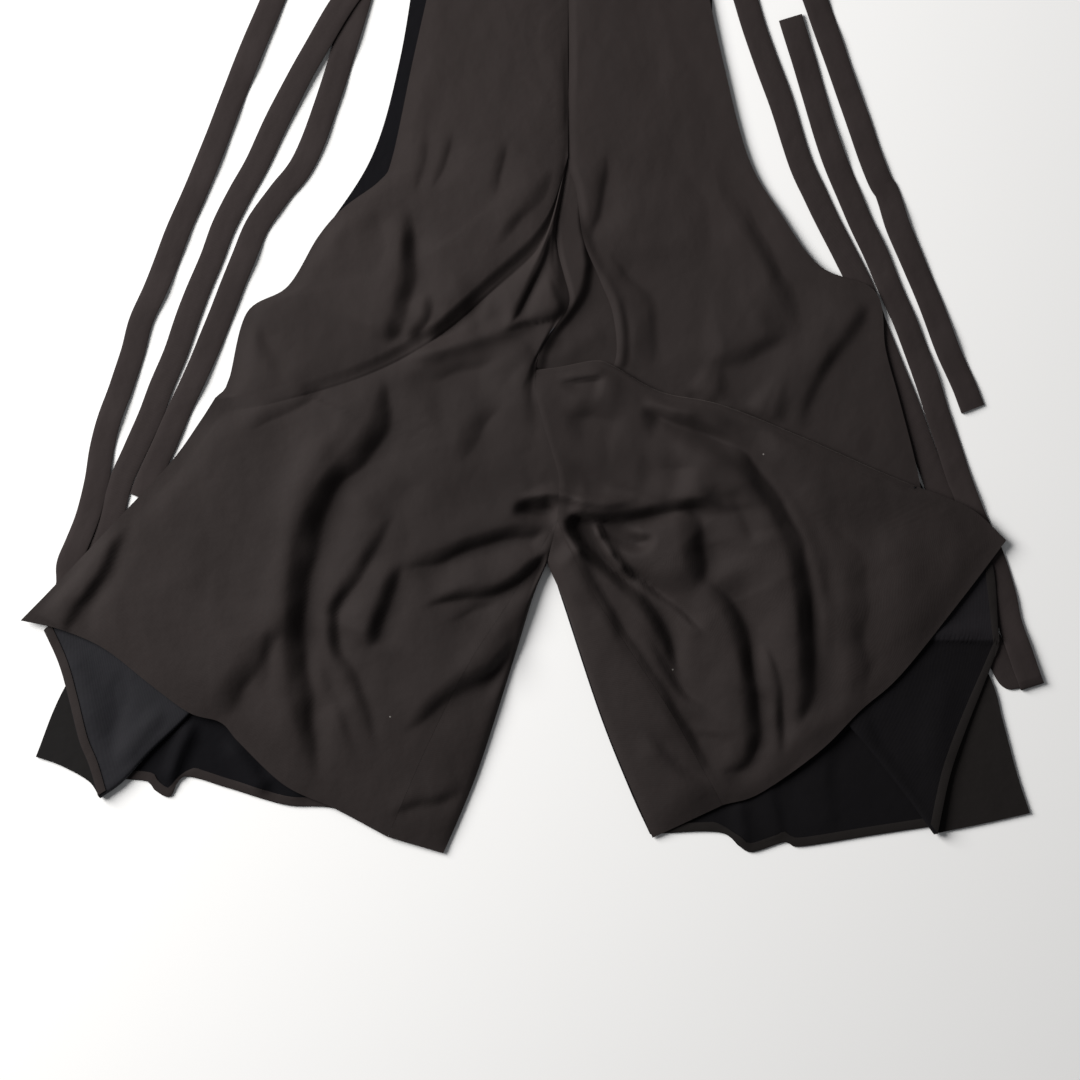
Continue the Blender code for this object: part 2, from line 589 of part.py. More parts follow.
def main():
    clear_scene()
    root = bpy.data.objects.new("hakama", None)
    bpy.context.scene.collection.objects.link(root)
    seams = shared_seams()
    back_panel("back_panel_left", seams, LEFT_BACK_INNER, LEFT_BACK_SIDE, LEFT_BACK_HEM, root)
    back_panel("back_panel_right", seams, RIGHT_BACK_INNER, RIGHT_BACK_SIDE, RIGHT_BACK_HEM, root)
    left = (LEFT_TUCK_EDGE, LEFT_FOLD, LEFT_RETURN_EDGE, LEFT_TUCK_HEM, LEFT_RETURN_HEM)
    right = (RIGHT_TUCK_EDGE, RIGHT_FOLD, RIGHT_RETURN_EDGE, RIGHT_TUCK_HEM, RIGHT_RETURN_HEM)
    side_panel("side_panel_left", *left, root)
    side_panel("side_panel_right", *right, root)
    front_panel_left(seams, root)
    front_panel_right(seams, root)
    centre_pleat(seams, root)
    gusset("gusset_left", seams["left"], LEFT_INSEAM, root)
    gusset("gusset_right", seams["right"], RIGHT_INSEAM, root)
    for row in WAISTBANDS:
        waistband(*row, root)
    doubled_tie("front_tie_left", LEFT_TIE_DOWN, LEFT_TIE_UP, LEFT_TURN, root)
    doubled_tie("front_tie_right", RIGHT_TIE_DOWN, RIGHT_TIE_UP, RIGHT_TURN, root)
    tie("back_tie_left", BACK_TIE_LEFT, root)
    tie("back_tie_right", BACK_TIE_RIGHT, root)


main()
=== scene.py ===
"""The looks of the hakama trousers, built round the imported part.

Every garment piece is a closed shell of cloth on the form of the solid that it replaces, with the folds,
turned hems and stitching that the solids leave out. Lengths are in millimetres from the crotch point, as in
the part: x to the viewer's right, y towards the waist and z up from the floor. MM turns them into metres.
"""

import math

import bpy
import numpy as np
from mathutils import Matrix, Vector

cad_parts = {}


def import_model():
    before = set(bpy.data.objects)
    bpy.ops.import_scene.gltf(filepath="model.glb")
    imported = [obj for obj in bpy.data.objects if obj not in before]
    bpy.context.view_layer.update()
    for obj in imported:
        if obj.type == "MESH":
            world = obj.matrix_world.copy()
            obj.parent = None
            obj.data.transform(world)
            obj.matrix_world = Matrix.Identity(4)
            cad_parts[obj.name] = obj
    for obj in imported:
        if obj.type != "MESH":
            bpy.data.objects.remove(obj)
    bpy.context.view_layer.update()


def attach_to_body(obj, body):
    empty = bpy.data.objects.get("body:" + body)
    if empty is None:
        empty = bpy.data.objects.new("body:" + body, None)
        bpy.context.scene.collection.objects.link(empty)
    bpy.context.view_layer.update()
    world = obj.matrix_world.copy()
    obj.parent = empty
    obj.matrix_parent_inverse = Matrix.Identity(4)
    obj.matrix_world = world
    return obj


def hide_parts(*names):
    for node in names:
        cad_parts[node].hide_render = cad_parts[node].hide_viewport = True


MM = 0.001
CLOTH = 1.2  # thickness of one layer
BAND = 2.6  # height of the waistband and ties
TIE_THICKNESS = BAND - 0.1
TIE_WIDTH = 26.4
HEM, HEM_INSET = 10.0, 0.4  # how far from the cloth's edge a turned hem reaches and starts
HEM_LIFT = 1.1  # of its face off the cloth
HEM_THICKNESS = 0.9
SEAM_GAP = 0.4  # between two pieces that are sewn together
PLACE = (14.1, -204.4)  # from the crotch point to the middle of the footprint
GRID = 1.1  # millimetres in one step of the drafting grid that the folds are stated on
CROTCH = (547, 563)  # the crotch point on that grid, whose y runs towards the hem

TUCK_Z = 2.7  # face of the side panel's lower layer
RETURN_Z = 3.1  # underside of its upper layer, where that lies flat
PLEAT_FLOOR = 3.6  # face of the centre pleat where it lies deepest
FOLD_DEPTH, FOLD_WIDTH = 1.5, 1.15  # of all the folds together
LEG_LOFT = 6.0  # how far the legs stand off the layers below them
RIDGE_TUCK = 40.0  # depth of the fold hidden below the right ridge
RIDGE_LAYERS = (6.2, 7.5, 8.8, 8.9, 12.5)  # its faces: upper panel, turn, return, return at the lip, lip

ROWS_SEAM_UPPER, ROWS_SEAM_LOWER, ROWS_GUSSET = 64, 46, 100
ROWS_BACK, ROWS_BACK_INNER, ROWS_SIDE = 100, 70, 230
ROWS_ABOVE_LEFT, ROWS_ABOVE_RIGHT = 110, 130
COLUMNS_FRONT, COLUMNS_BACK, COLUMNS_GUSSET, COLUMNS_PLEAT = 125, 90, 16, 34
COLUMNS_TUCK, COLUMNS_TURN, COLUMNS_RETURN = 28, 5, 40
ROWS_TIE, COLUMNS_TIE, ROWS_WAISTBAND = 300, 13, 60
GENTLE_CREST, GENTLE_TROUGH = 3.2, 2.4  # how far a fold's far sides reach, in half widths of its slope
# How the edges hold the folds down, as (reach from the edge, share of the folds left at it).
HELD_BY_EDGE, HELD_BY_HEM, HELD_BY_SEAM, HELD_BY_LIP = (25, 0.15), (30, 0.5), (14, 0.1), (12, 0.0)
LEFT_SEED, UPPER_RIGHT_SEED, RIGHT_SEED = 4, 7, 8  # of the unevenness
LEAST_FACE, UPPER_LEAST = 3.2, 4.4  # the least height of a leg's face, and of an upper panel's
SIDE_LAYERS, UPPER_SIDE_LAYERS = 5.8, 1.4  # how much higher that is over the side panels' layers
SIDE_FROM = 225  # how far from the middle those layers start
LOFT_REACH, UPPER_LOFT_REACH = 40, 30  # how far from its edge a sheet stands off in full
LEFT_UPPER_LOFT, RIGHT_UPPER_LOFT = 1.5, 1.0
UNEVEN = [(125, 3.2), (46, 1.5), (19, 0.5), (9, 0.12)]  # rows (size of the swells, their height)


# ---------------------------------------------------------------- curves and patches


def off_grid(points, z=BAND):
    """Rows (x, y) or (x, y, z) on the drafting grid as millimetres from the crotch point, with a height."""
    return [((x - CROTCH[0]) * GRID, (CROTCH[1] - y) * GRID, *(height or [z])) for x, y, *height in points]


def smooth(points, dense=12):
    """A Catmull-Rom curve through the points, as many short steps. A point may be a whole row of points."""
    points = np.array(points, float)
    ends = np.concatenate([[2 * points[0] - points[1]], points, [2 * points[-1] - points[-2]]])
    out = []
    for a, b, c, d in zip(ends, ends[1:], ends[2:], ends[3:]):
        for t in np.arange(dense) / dense:
            bend = (2 * a - 5 * b + 4 * c - d) * t**2 + (3 * b - a - 3 * c + d) * t**3
            out.append(0.5 * (2 * b + (c - a) * t + bend))
    return np.array([*out, points[-1]])


def run_along(line):
    """How far along the line each of its points is, in plan."""
    return np.append(0, np.cumsum(np.linalg.norm(np.diff(line[:, :2], axis=0), axis=1)))


def spaced(line, count):
    """The line as this many points, evenly spaced along its plan."""
    line = np.asarray(line, float)
    run = run_along(line)
    at = np.linspace(0, run[-1], count)
    return np.column_stack([np.interp(at, run, line[:, k]) for k in range(line.shape[1])])


def curve(points, count, z=None):
    """A smooth curve through the rows, evenly spaced. z is the height of rows that state only x and y."""
    line = spaced(smooth(points), count)
    return line if z is None else np.column_stack([line[:, :2], np.full(count, z)])


def joined(*lines):
    """Lines end to end, without the doubled points."""
    return np.vstack([lines[0], *(line[1:] for line in lines[1:])])


def patch(top, bottom, left, right):
    """The Coons patch inside four curves: rows from top to bottom, each from left to right."""
    u = np.linspace(0, 1, len(top))[None, :, None]
    v = np.linspace(0, 1, len(left))[:, None, None]
    across = (1 - v) * top[None] + v * bottom[None]
    down = (1 - u) * left[:, None] + u * right[:, None]
    corners = (1 - v) * ((1 - u) * top[0] + u * top[-1]) + v * ((1 - u) * bottom[0] + u * bottom[-1])
    return across + down - corners


def offset_row(row, distance, rise):
    """The row moved down the garment, square to itself in plan, by distance, and up by rise."""
    along = np.gradient(row[:, :2], axis=0)
    along /= np.linalg.norm(along, axis=1)[:, None]
    down = np.column_stack([along[:, 1], -along[:, 0]])
    distance = np.broadcast_to(distance, len(row))[:, None]
    return np.column_stack([row[:, :2] + down * distance, row[:, 2] + rise])


def smoothstep(t):
    t = np.clip(t, 0, 1)
    return t * t * (3 - 2 * t)


def unit(vectors):
    return vectors / np.maximum(np.linalg.norm(vectors, axis=-1, keepdims=True), 1e-9)


# ---------------------------------------------------------------- folds


def along_route(xy, route, samples=70):
    """How far along the route each point is, 0 to 1, and how far to its right, in millimetres."""
    line = spaced(smooth(off_grid(route), 8), samples)[:, :2]
    step = unit(np.gradient(line, axis=0))
    gap = np.linalg.norm(line[1] - line[0])
    away = xy[:, None] - line
    nearest = (away**2).sum(axis=-1).argmin(axis=1)
    away = away[np.arange(len(xy)), nearest]
    step = step[nearest]
    t = (nearest + (away * step).sum(axis=1) / gap) / (samples - 1)
    return t, away[:, 0] * step[:, 1] - away[:, 1] * step[:, 0]


def faded(t, fade):
    """1 along a route and falling to 0 at its ends, over the two shares of its length in fade."""
    return smoothstep(t / fade[0]) * smoothstep((1 - t) / fade[1])


def near_route(xy, route, reach):
    """Which points lie in the route's box, made larger by reach."""
    points = np.array(off_grid(route))[:, :2]
    return ((xy > points.min(axis=0) - reach) & (xy < points.max(axis=0) + reach)).all(axis=-1)


def step_profile(side):
    """A slope between a crest at 1, left roundly, and a sharper crease at -1; both sides die away."""
    far = np.abs(side)
    down = np.clip((1 - side) / 2, 0, 1)
    slope = 1 - 2 * (down**1.8 / 1.8 - down**13.8 / 13.8) / (1 / 1.8 - 1 / 13.8)
    gentle = np.sign(side) * np.exp(-(((far - 1) / np.where(side > 0, GENTLE_CREST, GENTLE_TROUGH)) ** 2))
    return np.where(far < 1, slope, gentle)


def wander(t, route):
    """A slow irregular wave along a route, between -1 and 1, so that no fold is even."""
    run = run_along(np.array(route, float))[-1] * t
    start = route[0][0] + route[0][1]
    return 0.65 * np.sin(run / 21 + start) + 0.35 * np.sin(run / 8 + 2.3 * start)


def relief(xy, steps, rolls):
    """Height of the folds at the points.

    A step has its crest to the right of its route and its trough to the left. A roll is a ridge along its
    route, or a valley where its height is below zero. Both grow narrower as they fade.
    """
    total = np.zeros(xy.shape[:-1])
    for _, width, crest, trough, fade, route in steps:
        near = near_route(xy, route, 8 * width)
        t, side = along_route(xy[near], route)
        share = faded(t, fade)
        uneven = wander(t, route)
        span = FOLD_WIDTH * width * (0.55 + 0.45 * share) * (1 + 0.2 * uneven)
        wave = step_profile(side / span + 0.15 * uneven)
        total[near] += np.where(wave > 0, crest, trough) * wave * share * (1 - 0.15 * uneven)
    for _, width, height, fade, route in rolls:
        near = near_route(xy, route, 3 * width)
        t, side = along_route(xy[near], route)
        share = faded(t, fade)
        span = width * (0.6 + 0.4 * share) * (1 + 0.12 * wander(t, route))
        total[near] += height * np.exp(-((side / span) ** 2)) * share
    return total


def gradient_noise(x, y, seed):
    """Smooth noise between about -0.7 and 0.7 whose grain is one unit."""
    angles = np.random.default_rng(seed).uniform(0, math.tau, (64, 64))
    column, row = np.floor(x).astype(int), np.floor(y).astype(int)
    x, y = x - column, y - row

    def corner(right, up):
        angle = angles[(row + up) % 64, (column + right) % 64]
        return np.cos(angle) * (x - right) + np.sin(angle) * (y - up)

    u, v = smoothstep(x), smoothstep(y)
    below = corner(0, 0) + (corner(1, 0) - corner(0, 0)) * u
    above = corner(0, 1) + (corner(1, 1) - corner(0, 1)) * u
    return below + (above - below) * v


def unevenness(xy, seed):
    """How laid cloth undulates: broad swells, soft dents and faint wrinkles, drawn out lengthwise."""
    x, y = xy[..., 0], xy[..., 1]
    bend = 22 * gradient_noise(x / 90, y / 90, seed + 50)
    total = np.zeros(x.shape)
    for n, (size, height) in enumerate(UNEVEN):
        total += height * gradient_noise((x + bend) / size, (y - bend) / (1.7 * size), seed + n)
    return total


def from_edge(grid, side):
    """How far each point is from one side of the sheet, along the sheet in plan."""
    axis = 1 if side in ("left", "right") else 0
    steps = np.linalg.norm(np.diff(grid[..., :2], axis=axis), axis=-1)
    pad = [(0, 0), (0, 0)]
    pad[axis] = (1, 0)
    run = np.pad(steps, pad).cumsum(axis=axis)
    if side in ("left", "top"):
        return run
    return np.take(run, [-1], axis=axis) - run


def rounded(t):
    """0 to 1 over t from 0 to 1, quickly at first like the edge of a cushion."""
    return 1 - (1 - np.clip(t, 0, 1)) ** 2


def relaxed(grid, times=150):
    """The grid with its inner points spread evenly between its sides, where a patch would bunch up."""
    grid = grid.copy()
    for _ in range(times):
        around = grid[2:, 1:-1] + grid[:-2, 1:-1] + grid[1:-1, 2:] + grid[1:-1, :-2]
        grid[1:-1, 1:-1] = around / 4
    return grid


def lofted(grid, loft, reach, sides):
    """The sheet raised by loft, falling to nothing at the named sides over reach."""
    share = np.ones(grid.shape[:2])
    for side in sides.split():
        share = share * rounded(from_edge(grid, side) / reach)
    out = grid.copy()
    out[..., 2] += loft * share
    return out


# ---------------------------------------------------------------- shells


def facing(grid, side):
    """A view of the grid whose first row is the named side, and whose other rows lead away from it."""
    grid = grid.swapaxes(0, 1) if side in ("left", "right") else grid
    return grid[::-1] if side in ("bottom", "right") else grid


def tangents(grid, axis):
    """The directions along one axis of the grid, each the mean of those before and after the point."""
    steps = unit(np.diff(grid, axis=axis))
    pad = [(0, 0)] * grid.ndim
    pad[axis] = (1, 1)
    steps = np.pad(steps, pad, mode="edge")
    first = np.take(steps, range(steps.shape[axis] - 1), axis=axis)
    second = np.take(steps, range(1, steps.shape[axis]), axis=axis)
    return unit(first + second)


def square_ends(normals, grid):
    """Turns the normals at the sheet's edges into the edge's own upright plane, so that pieces meet."""
    for side in ("top", "bottom", "left", "right"):
        edge, beside = facing(grid, side)[:2]
        normal = facing(normals, side)[0]
        along = tangents(edge, 0)
        square = np.column_stack([along[:, 1], -along[:, 0], np.zeros(len(along))])
        flat_enough = np.linalg.norm(square, axis=1, keepdims=True) > 0.3
        out = unit(np.where(flat_enough, square, (edge - beside) * (1, 1, 0)))
        normal[:] = unit(normal - (normal * out).sum(axis=-1, keepdims=True) * out)
    return normals


def inset(grid, sides):
    """The grid with each named side pulled in by half a seam's gap."""
    grid = grid.copy()
    for side in sides.split():
        edge, beside = facing(grid, side)[:2]
        edge += unit(beside - edge) * SEAM_GAP / 2
    return grid


def quads(index):
    corners = (index[1:, :-1], index[1:, 1:], index[:-1, 1:], index[:-1, :-1])
    return np.stack(corners, axis=-1).reshape(-1, 4)


def moved_in(outer, thickness):
    """The sheet's other face, and whether the grid is a mirrored one."""
    normals = unit(np.cross(tangents(outer, 0), tangents(outer, 1)))
    mirrored = normals[0, 0, 2] < 0
    if mirrored:
        normals = -normals
    depth = np.broadcast_to(thickness, outer.shape[:2])[..., None]
    inner = outer - depth * square_ends(normals, outer)
    inner[..., 2] = np.maximum(inner[..., 2], 0)
    return inner, mirrored


def shell(name, outer, face, lining=None, thickness=CLOTH):
    """A closed shell of cloth: its outer face as a grid of points, and the same grid moved in."""
    inner, mirrored = moved_in(outer, thickness)
    count_v, count_u = outer.shape[:2]
    points = np.concatenate([outer.reshape(-1, 3), inner.reshape(-1, 3)])
    points[:, :2] += PLACE
    index = np.arange(count_v * count_u).reshape(count_v, count_u)
    drop = count_v * count_u
    rim = np.concatenate([index[0], index[1:, -1], index[-1, -2::-1], index[-2:0:-1, 0]])
    after = np.roll(rim, -1)
    edge = np.stack([rim, after, after + drop, rim + drop], axis=-1)
    top, under = quads(index), quads(index + drop)[:, ::-1]
    faces = np.concatenate([top, under, edge])
    if mirrored:
        faces = faces[:, ::-1]
    mesh = bpy.data.meshes.new(name)
    mesh.from_pydata((points * MM).tolist(), [], faces.tolist())
    mesh.polygons.foreach_set("use_smooth", [True] * len(faces))
    mesh.polygons.foreach_set("material_index", [0] * len(top) + [1] * len(under) + [0] * len(edge))
    mesh.materials.append(face)
    mesh.materials.append(lining or face)
    crisp_rim(mesh, rim, drop)
    lay_threads(mesh, outer)
    mesh.update()
    obj = bpy.data.objects.new(name, mesh)
    bpy.context.scene.collection.objects.link(obj)
    return obj


def crisp_rim(mesh, rim, drop):
    """Keeps the shading of the two faces apart from that of the narrow edge between them."""
    on_rim = np.zeros(2 * drop, bool)
    on_rim[rim] = on_rim[rim + drop] = True
    ends = np.empty(2 * len(mesh.edges), int)
    mesh.edges.foreach_get("vertices", ends)
    ends = ends.reshape(-1, 2)
    sharp = on_rim[ends].all(axis=1) & ((ends < drop).sum(axis=1) != 1)
    mesh.attributes.new("sharp_edge", "BOOLEAN", "EDGE").data.foreach_set("value", sharp)


def lay_threads(mesh, outer):
    """A map in metres along the cloth's own threads, for the weave."""
    across = np.linalg.norm(np.diff(outer, axis=1, prepend=outer[:, :1]), axis=-1).cumsum(axis=1)
    down = np.linalg.norm(np.diff(outer, axis=0, prepend=outer[:1]), axis=-1).cumsum(axis=0)
    threads = np.stack([across, down], axis=-1).reshape(-1, 2) * MM
    threads = np.concatenate([threads, threads])
    corner = np.empty(len(mesh.loops), int)
    mesh.loops.foreach_get("vertex_index", corner)
    layer = mesh.uv_layers.new(name="threads")
    layer.data.foreach_set("uv", threads[corner].ravel())


def edge_strip(outer, side, columns=7):
    """The strip of the sheet beside one of its edges, lifted off it: a turned hem."""
    lines = facing(outer, side).swapaxes(0, 1)
    reach = np.linspace(HEM_INSET, HEM, columns)
    profile = HEM_LIFT + 0.35 * np.sin(math.pi * np.linspace(0, 1, columns)) ** 0.5
    rows = []
    for n, line in enumerate(lines):
        along = unit(lines[min(n + 1, len(lines) - 1), 0] - lines[max(n - 1, 0), 0])
        away = line[:, :2] - line[0, :2]
        square = np.abs(away[:, 0] * along[1] - away[:, 1] * along[0])
        square = np.maximum.accumulate(np.maximum(square, 0.7 * run_along(line)))
        rows.append(np.column_stack([np.interp(reach, square, line[:, k]) for k in range(3)]))
        rows[-1][:, 2] += profile
    return np.array(rows)


# ---------------------------------------------------------------- seams and edges

# Rows (x, y, z of the outer face).

CENTRE_FRONT = [(23, 652, 6), (23, 550, 7), (23, 446, 11)]
SEAM_UPPER = [
    (23, 446, 8), (16, 404, 7.5), (10, 372, 7.5), (12, 343, 8), (18, 318, 9), (24, 296, 10),
    (24, 284, 10.5), (19, 272, 11), (8, 258, 11.5), (-3, 243, 12), (-9, 228, 13), (-12, 212, 14),
]
SEAM_LOWER = [(-12, 212, 14), (-13, 190, 16), (-4, 152, 17), (6, 119, 16), (13, 91, 14), (11, 47, 11)]

LEFT_WAIST = [(-125, 652, 5.5), (-50, 652, 5.5), (23, 652, 6)]
LEFT_SLIT = [
    (-125, 652, 5.5), (-148, 550, 5), (-170, 446, 5), (-184, 420, 5), (-224, 390, 5), (-252, 358, 5),
    (-285, 304, 5.5), (-330, 275, 6), (-350, 200, 6.2), (-364, 182, 6.5),
]
LEFT_RIDGE = [
    (-364, 182, 6.5), (-310, 190, 12), (-206, 221, 15), (-129, 262, 17), (-68, 314, 17), (-19, 358, 17),
    (6, 394, 15), (23, 446, 11),
]
LEFT_OUTER = [
    (-364, 182, 6.5), (-382, 154, 6), (-413, 111, 5.9), (-470, 50, 5.9), (-540, -24, 5.9), (-578, -63, 6),
]
LEFT_HEM = [
    (-578, -63, 6), (-534, -73, 7), (-486, -94, 9), (-437, -132, 10.5), (-393, -164, 11),
    (-358, -175, 10), (-338, -197, 8), (-288, -244, 6), (-233, -270, 5), (-175, -301, 4.5),
]
LEFT_GUSSET_SEAM = [
    (11, 47, 11), (-41, -41, 10), (-87, -112, 9), (-129, -195, 7), (-158, -261, 5.5), (-175, -301, 4.5),
]
LEFT_INSEAM = [
    (0, 0, 8), (-15, -36, 6), (-35, -101, 4), (-70, -211, 3.2), (-90, -264, 3.2), (-114, -319, 3.2),
]

RIGHT_WAIST = [(23, 652, 6), (100, 652, 5.5), (172, 652, 5.5)]
RIGHT_EDGE = [
    (23, 652, 6), (24, 550, 7), (23, 446, 9), (32, 410, 9), (40, 355, 9), (58, 311, 8), (73, 270, 7),
    (73, 216, 6.5),
]
RIGHT_SLIT = [
    (172, 652, 5.5), (193, 553, 5), (221, 446, 5), (256, 385, 5), (300, 326, 5), (361, 298, 5.6),
    (372, 234, 5.8), (387, 179, 5.8), (406, 105, 5.8),
]
RIGHT_RIDGE = [
    (-12, 212, 14), (14, 215, 14), (52, 222, 14), (73, 216, 14), (124, 188, 14.2), (190, 174, 14.5),
    (278, 139, 14.5), (366, 100, 14), (405, 84, 13),
]
RIGHT_OUTER = [(405, 84, 13), (438, 72, 11), (471, 56, 8.5), (504, 25, 6.4)]
RIGHT_HEM = [
    (193, -266, 4.5), (234, -253, 5), (300, -206, 7), (344, -162, 9), (388, -123, 9), (454, -41, 7),
    (504, 25, 6.4),
]
RIGHT_GUSSET_SEAM = [
    (11, 47, 11), (31, 3, 10), (58, -46, 10), (102, -112, 8), (138, -167, 7), (193, -266, 4.5),
]
RIGHT_INSEAM = [(0, 0, 8), (18, -41, 6), (36, -96, 4), (58, -162, 3.2), (80, -219, 3.2), (116, -302, 3.2)]

PLEAT_EDGE = [(38, 446, 4.8), (62, 380, 4.8), (85, 300, 4.6), (88, 212, 4.6)]
PLEAT_FOOT = [(-13, 206, 8), (14, 208, 7), (52, 215, 5.5), (73, 210, 4.6), (88, 206, 4.6)]

# The same for cloth that lies flat, rows (x, y).
BACK_CENTRE = [(23, 688), (21, 447), (14, 179), (2, 3)]
LEFT_BACK_INNER = [(2, 3), (-19, -41), (-52, -147), (-85, -239), (-112, -311)]
LEFT_BACK_HEM = [
    (-560, -213), (-510, -228), (-468, -237), (-440, -240), (-431, -250), (-414, -257), (-399, -235),
    (-349, -248), (-288, -266), (-233, -270), (-162, -294), (-112, -311),
]
LEFT_BACK_SIDE = [
    (-140, 688), (-162, 553), (-193, 446), (-250, 358), (-285, 304), (-326, 272), (-338, 225),
    (-362, 165), (-416, 69), (-470, -41), (-530, -140), (-560, -213),
]
RIGHT_BACK_INNER = [(2, 3), (20, -52), (58, -167), (91, -250), (113, -298)]
RIGHT_BACK_HEM = [
    (113, -298), (188, -296), (212, -312), (226, -318), (262, -307), (278, -312), (355, -300),
    (421, -290), (529, -274),
]
RIGHT_BACK_SIDE = [
    (182, 688), (185, 553), (218, 438), (256, 380), (300, 322), (330, 290), (338, 256), (366, 168),
    (398, 80), (436, -30), (485, -125), (499, -173), (515, -233), (529, -274),
]

# The side panel's tuck lies on the back panel, turns over at the fold and returns below the front's edge.
# The fold's rows are (x, y, how far it stands open).
LEFT_TUCK_EDGE = [
    (-333, 250), (-340, 222), (-364, 162), (-418, 66), (-473, -44), (-532, -140), (-562, -213),
]
LEFT_TUCK_HEM = [(-562, -213), (-536, -222), (-505, -239), (-493, -255)]
LEFT_FOLD = [
    (-314, 256, 0.8), (-306, 190, 0.8), (-302, 91, 0.8), (-314, -19, 1), (-343, -101, 1.5),
    (-393, -162, 3), (-437, -204, 4.5), (-468, -237, 5.5), (-493, -255, 6),
]
LEFT_RETURN_EDGE = [
    (-331, 262), (-338, 234), (-372, 150), (-420, 78), (-464, 20), (-514, -32), (-553, -74),
]
LEFT_RETURN_HEM = [(-493, -255), (-503, -222), (-514, -195), (-525, -151), (-536, -112), (-553, -74)]

RIGHT_TUCK_EDGE = [
    (341, 250), (368, 168), (400, 80), (439, -30), (487, -125), (501, -173), (517, -233), (531, -275),
]
RIGHT_TUCK_HEM = [(531, -275), (482, -286), (429, -297)]
RIGHT_FOLD = [
    (322, 258, 0.8), (305, 179, 0.8), (278, 69, 0.8), (267, -41, 1), (289, -129, 1.5), (344, -189, 3),
    (394, -250, 4.5), (429, -297, 6),
]
RIGHT_RETURN_EDGE = [(350, 262), (355, 240), (383, 152), (416, 78), (454, 36), (488, 6), (497, -90)]
RIGHT_RETURN_HEM = [(429, -297), (443, -233), (460, -184), (482, -129), (497, -90)]



# ---------------------------------------------------------------- folds, on the drafting grid

# Steps, rows (name, width, crest, trough, fades, route). The crest is to the right of the route.
LEFT_STEPS = [
    ("main", 11.5, 5.6, 5.6, (0.16, 0.22), [(382, 370), (383, 398), (376, 428), (354, 457), (329, 485),
     (311, 525), (299, 580), (295, 640), (299, 696), (309, 743), (318, 790)]),
    ("knee", 7, 3.4, 3.2, (0.3, 0.35), [(398, 505), (366, 555), (336, 602), (332, 622), (336, 653),
     (356, 690), (370, 728), (377, 760)]),
    ("pocket", 8, 3.6, 3.8, (0.35, 0.2), [(401, 556), (387, 590), (376, 622), (367, 650)]),
    ("crotch upper", 8, 4, 4.4, (0.15, 0.3), [(550, 526), (515, 531), (482, 539), (442, 553),
     (400, 566)]),
    ("crotch lower", 6, 3.4, 4.4, (0.12, 0.35), [(546, 551), (517, 577), (495, 588), (470, 590),
     (445, 597), (418, 606)]),
    ("thigh small", 8, 1.2, 1.5, (0.3, 0.4), [(500, 596), (474, 605), (442, 622)]),
    ("thigh", 8.5, 3, 3.2, (0.25, 0.3), [(520, 640), (490, 668), (450, 686), (423, 712), (400, 735)]),
    ("thigh sharp", 5, 1.6, 1.8, (0.3, 0.4), [(516, 634), (501, 655), (482, 680), (462, 692)]),
    ("hem crease", 5, 1.2, 1.4, (0.3, 0.4), [(470, 782), (440, 797), (416, 801), (384, 817)]),
    ("outer soft", 15, 3.2, 3.4, (0.25, 0.25), [(274, 600), (264, 632), (249, 663), (230, 694),
     (214, 718)]),
    ("outer thin", 5, 0.9, 0.8, (0.3, 0.4), [(271, 620), (266, 650), (263, 690)]),
    ("inner thin", 6, 1.1, 1.1, (0.3, 0.4), [(315, 641), (325, 680), (344, 724), (356, 770)]),
    ("under ridge", 14, 2, 2.6, (0.3, 0.4), [(500, 352), (470, 360), (430, 366), (400, 374)]),
    ("beside seam", 12, 1.8, 2.6, (0.25, 0.35), [(518, 338), (528, 370), (534, 400), (533, 440)]),
    ("centre soft", 12, 2, 1.8, (0.3, 0.35), [(500, 388), (484, 412), (468, 440), (456, 466)]),
    ("side below ridge", 10, 1.8, 1.8, (0.25, 0.35), [(322, 378), (304, 398), (272, 412), (238, 432)]),
    ("apex crease", 4.5, 1.8, 3.0, (0.25, 0.15), [(551, 229), (541, 257), (530, 284), (519, 306),
     (509, 325)]),
    ("tongue edge", 7, 2.2, 3.4, (0.12, 0.3), [(567, 309), (548, 316), (526, 321), (500, 330)]),
    ("lens", 7, 2.2, 2.4, (0.3, 0.3), [(486, 294), (462, 308), (444, 326), (424, 345)]),
    ("upper main", 9, 4.4, 3, (0.3, 0.12), [(403, 203), (408, 238), (406, 280), (397, 312), (386, 346)]),
    ("upper small", 6, 2.4, 2, (0.3, 0.25), [(428, 293), (425, 318), (406, 341)]),
    ("pleat 1", 5, 0.8, 0.9, (0.3, 0.4), [(424, 130), (420, 165), (414, 198)]),
    ("pleat 2", 5, 0.9, 1, (0.3, 0.4), [(450, 130), (443, 160), (430, 192)]),
    ("pleat 3", 6, 0.9, 1, (0.3, 0.4), [(505, 140), (498, 170), (488, 205)]),
    ("edge roll", 7, 1.6, 1.2, (0.3, 0.3), [(552, 165), (540, 190), (520, 215), (492, 250)]),
    ("side thin", 9, 1.2, 1.2, (0.3, 0.4), [(253, 322), (266, 358), (284, 386)]),
    ("upper soft", 13, 1.5, 1.5, (0.3, 0.4), [(366, 206), (368, 240), (374, 276)]),
]
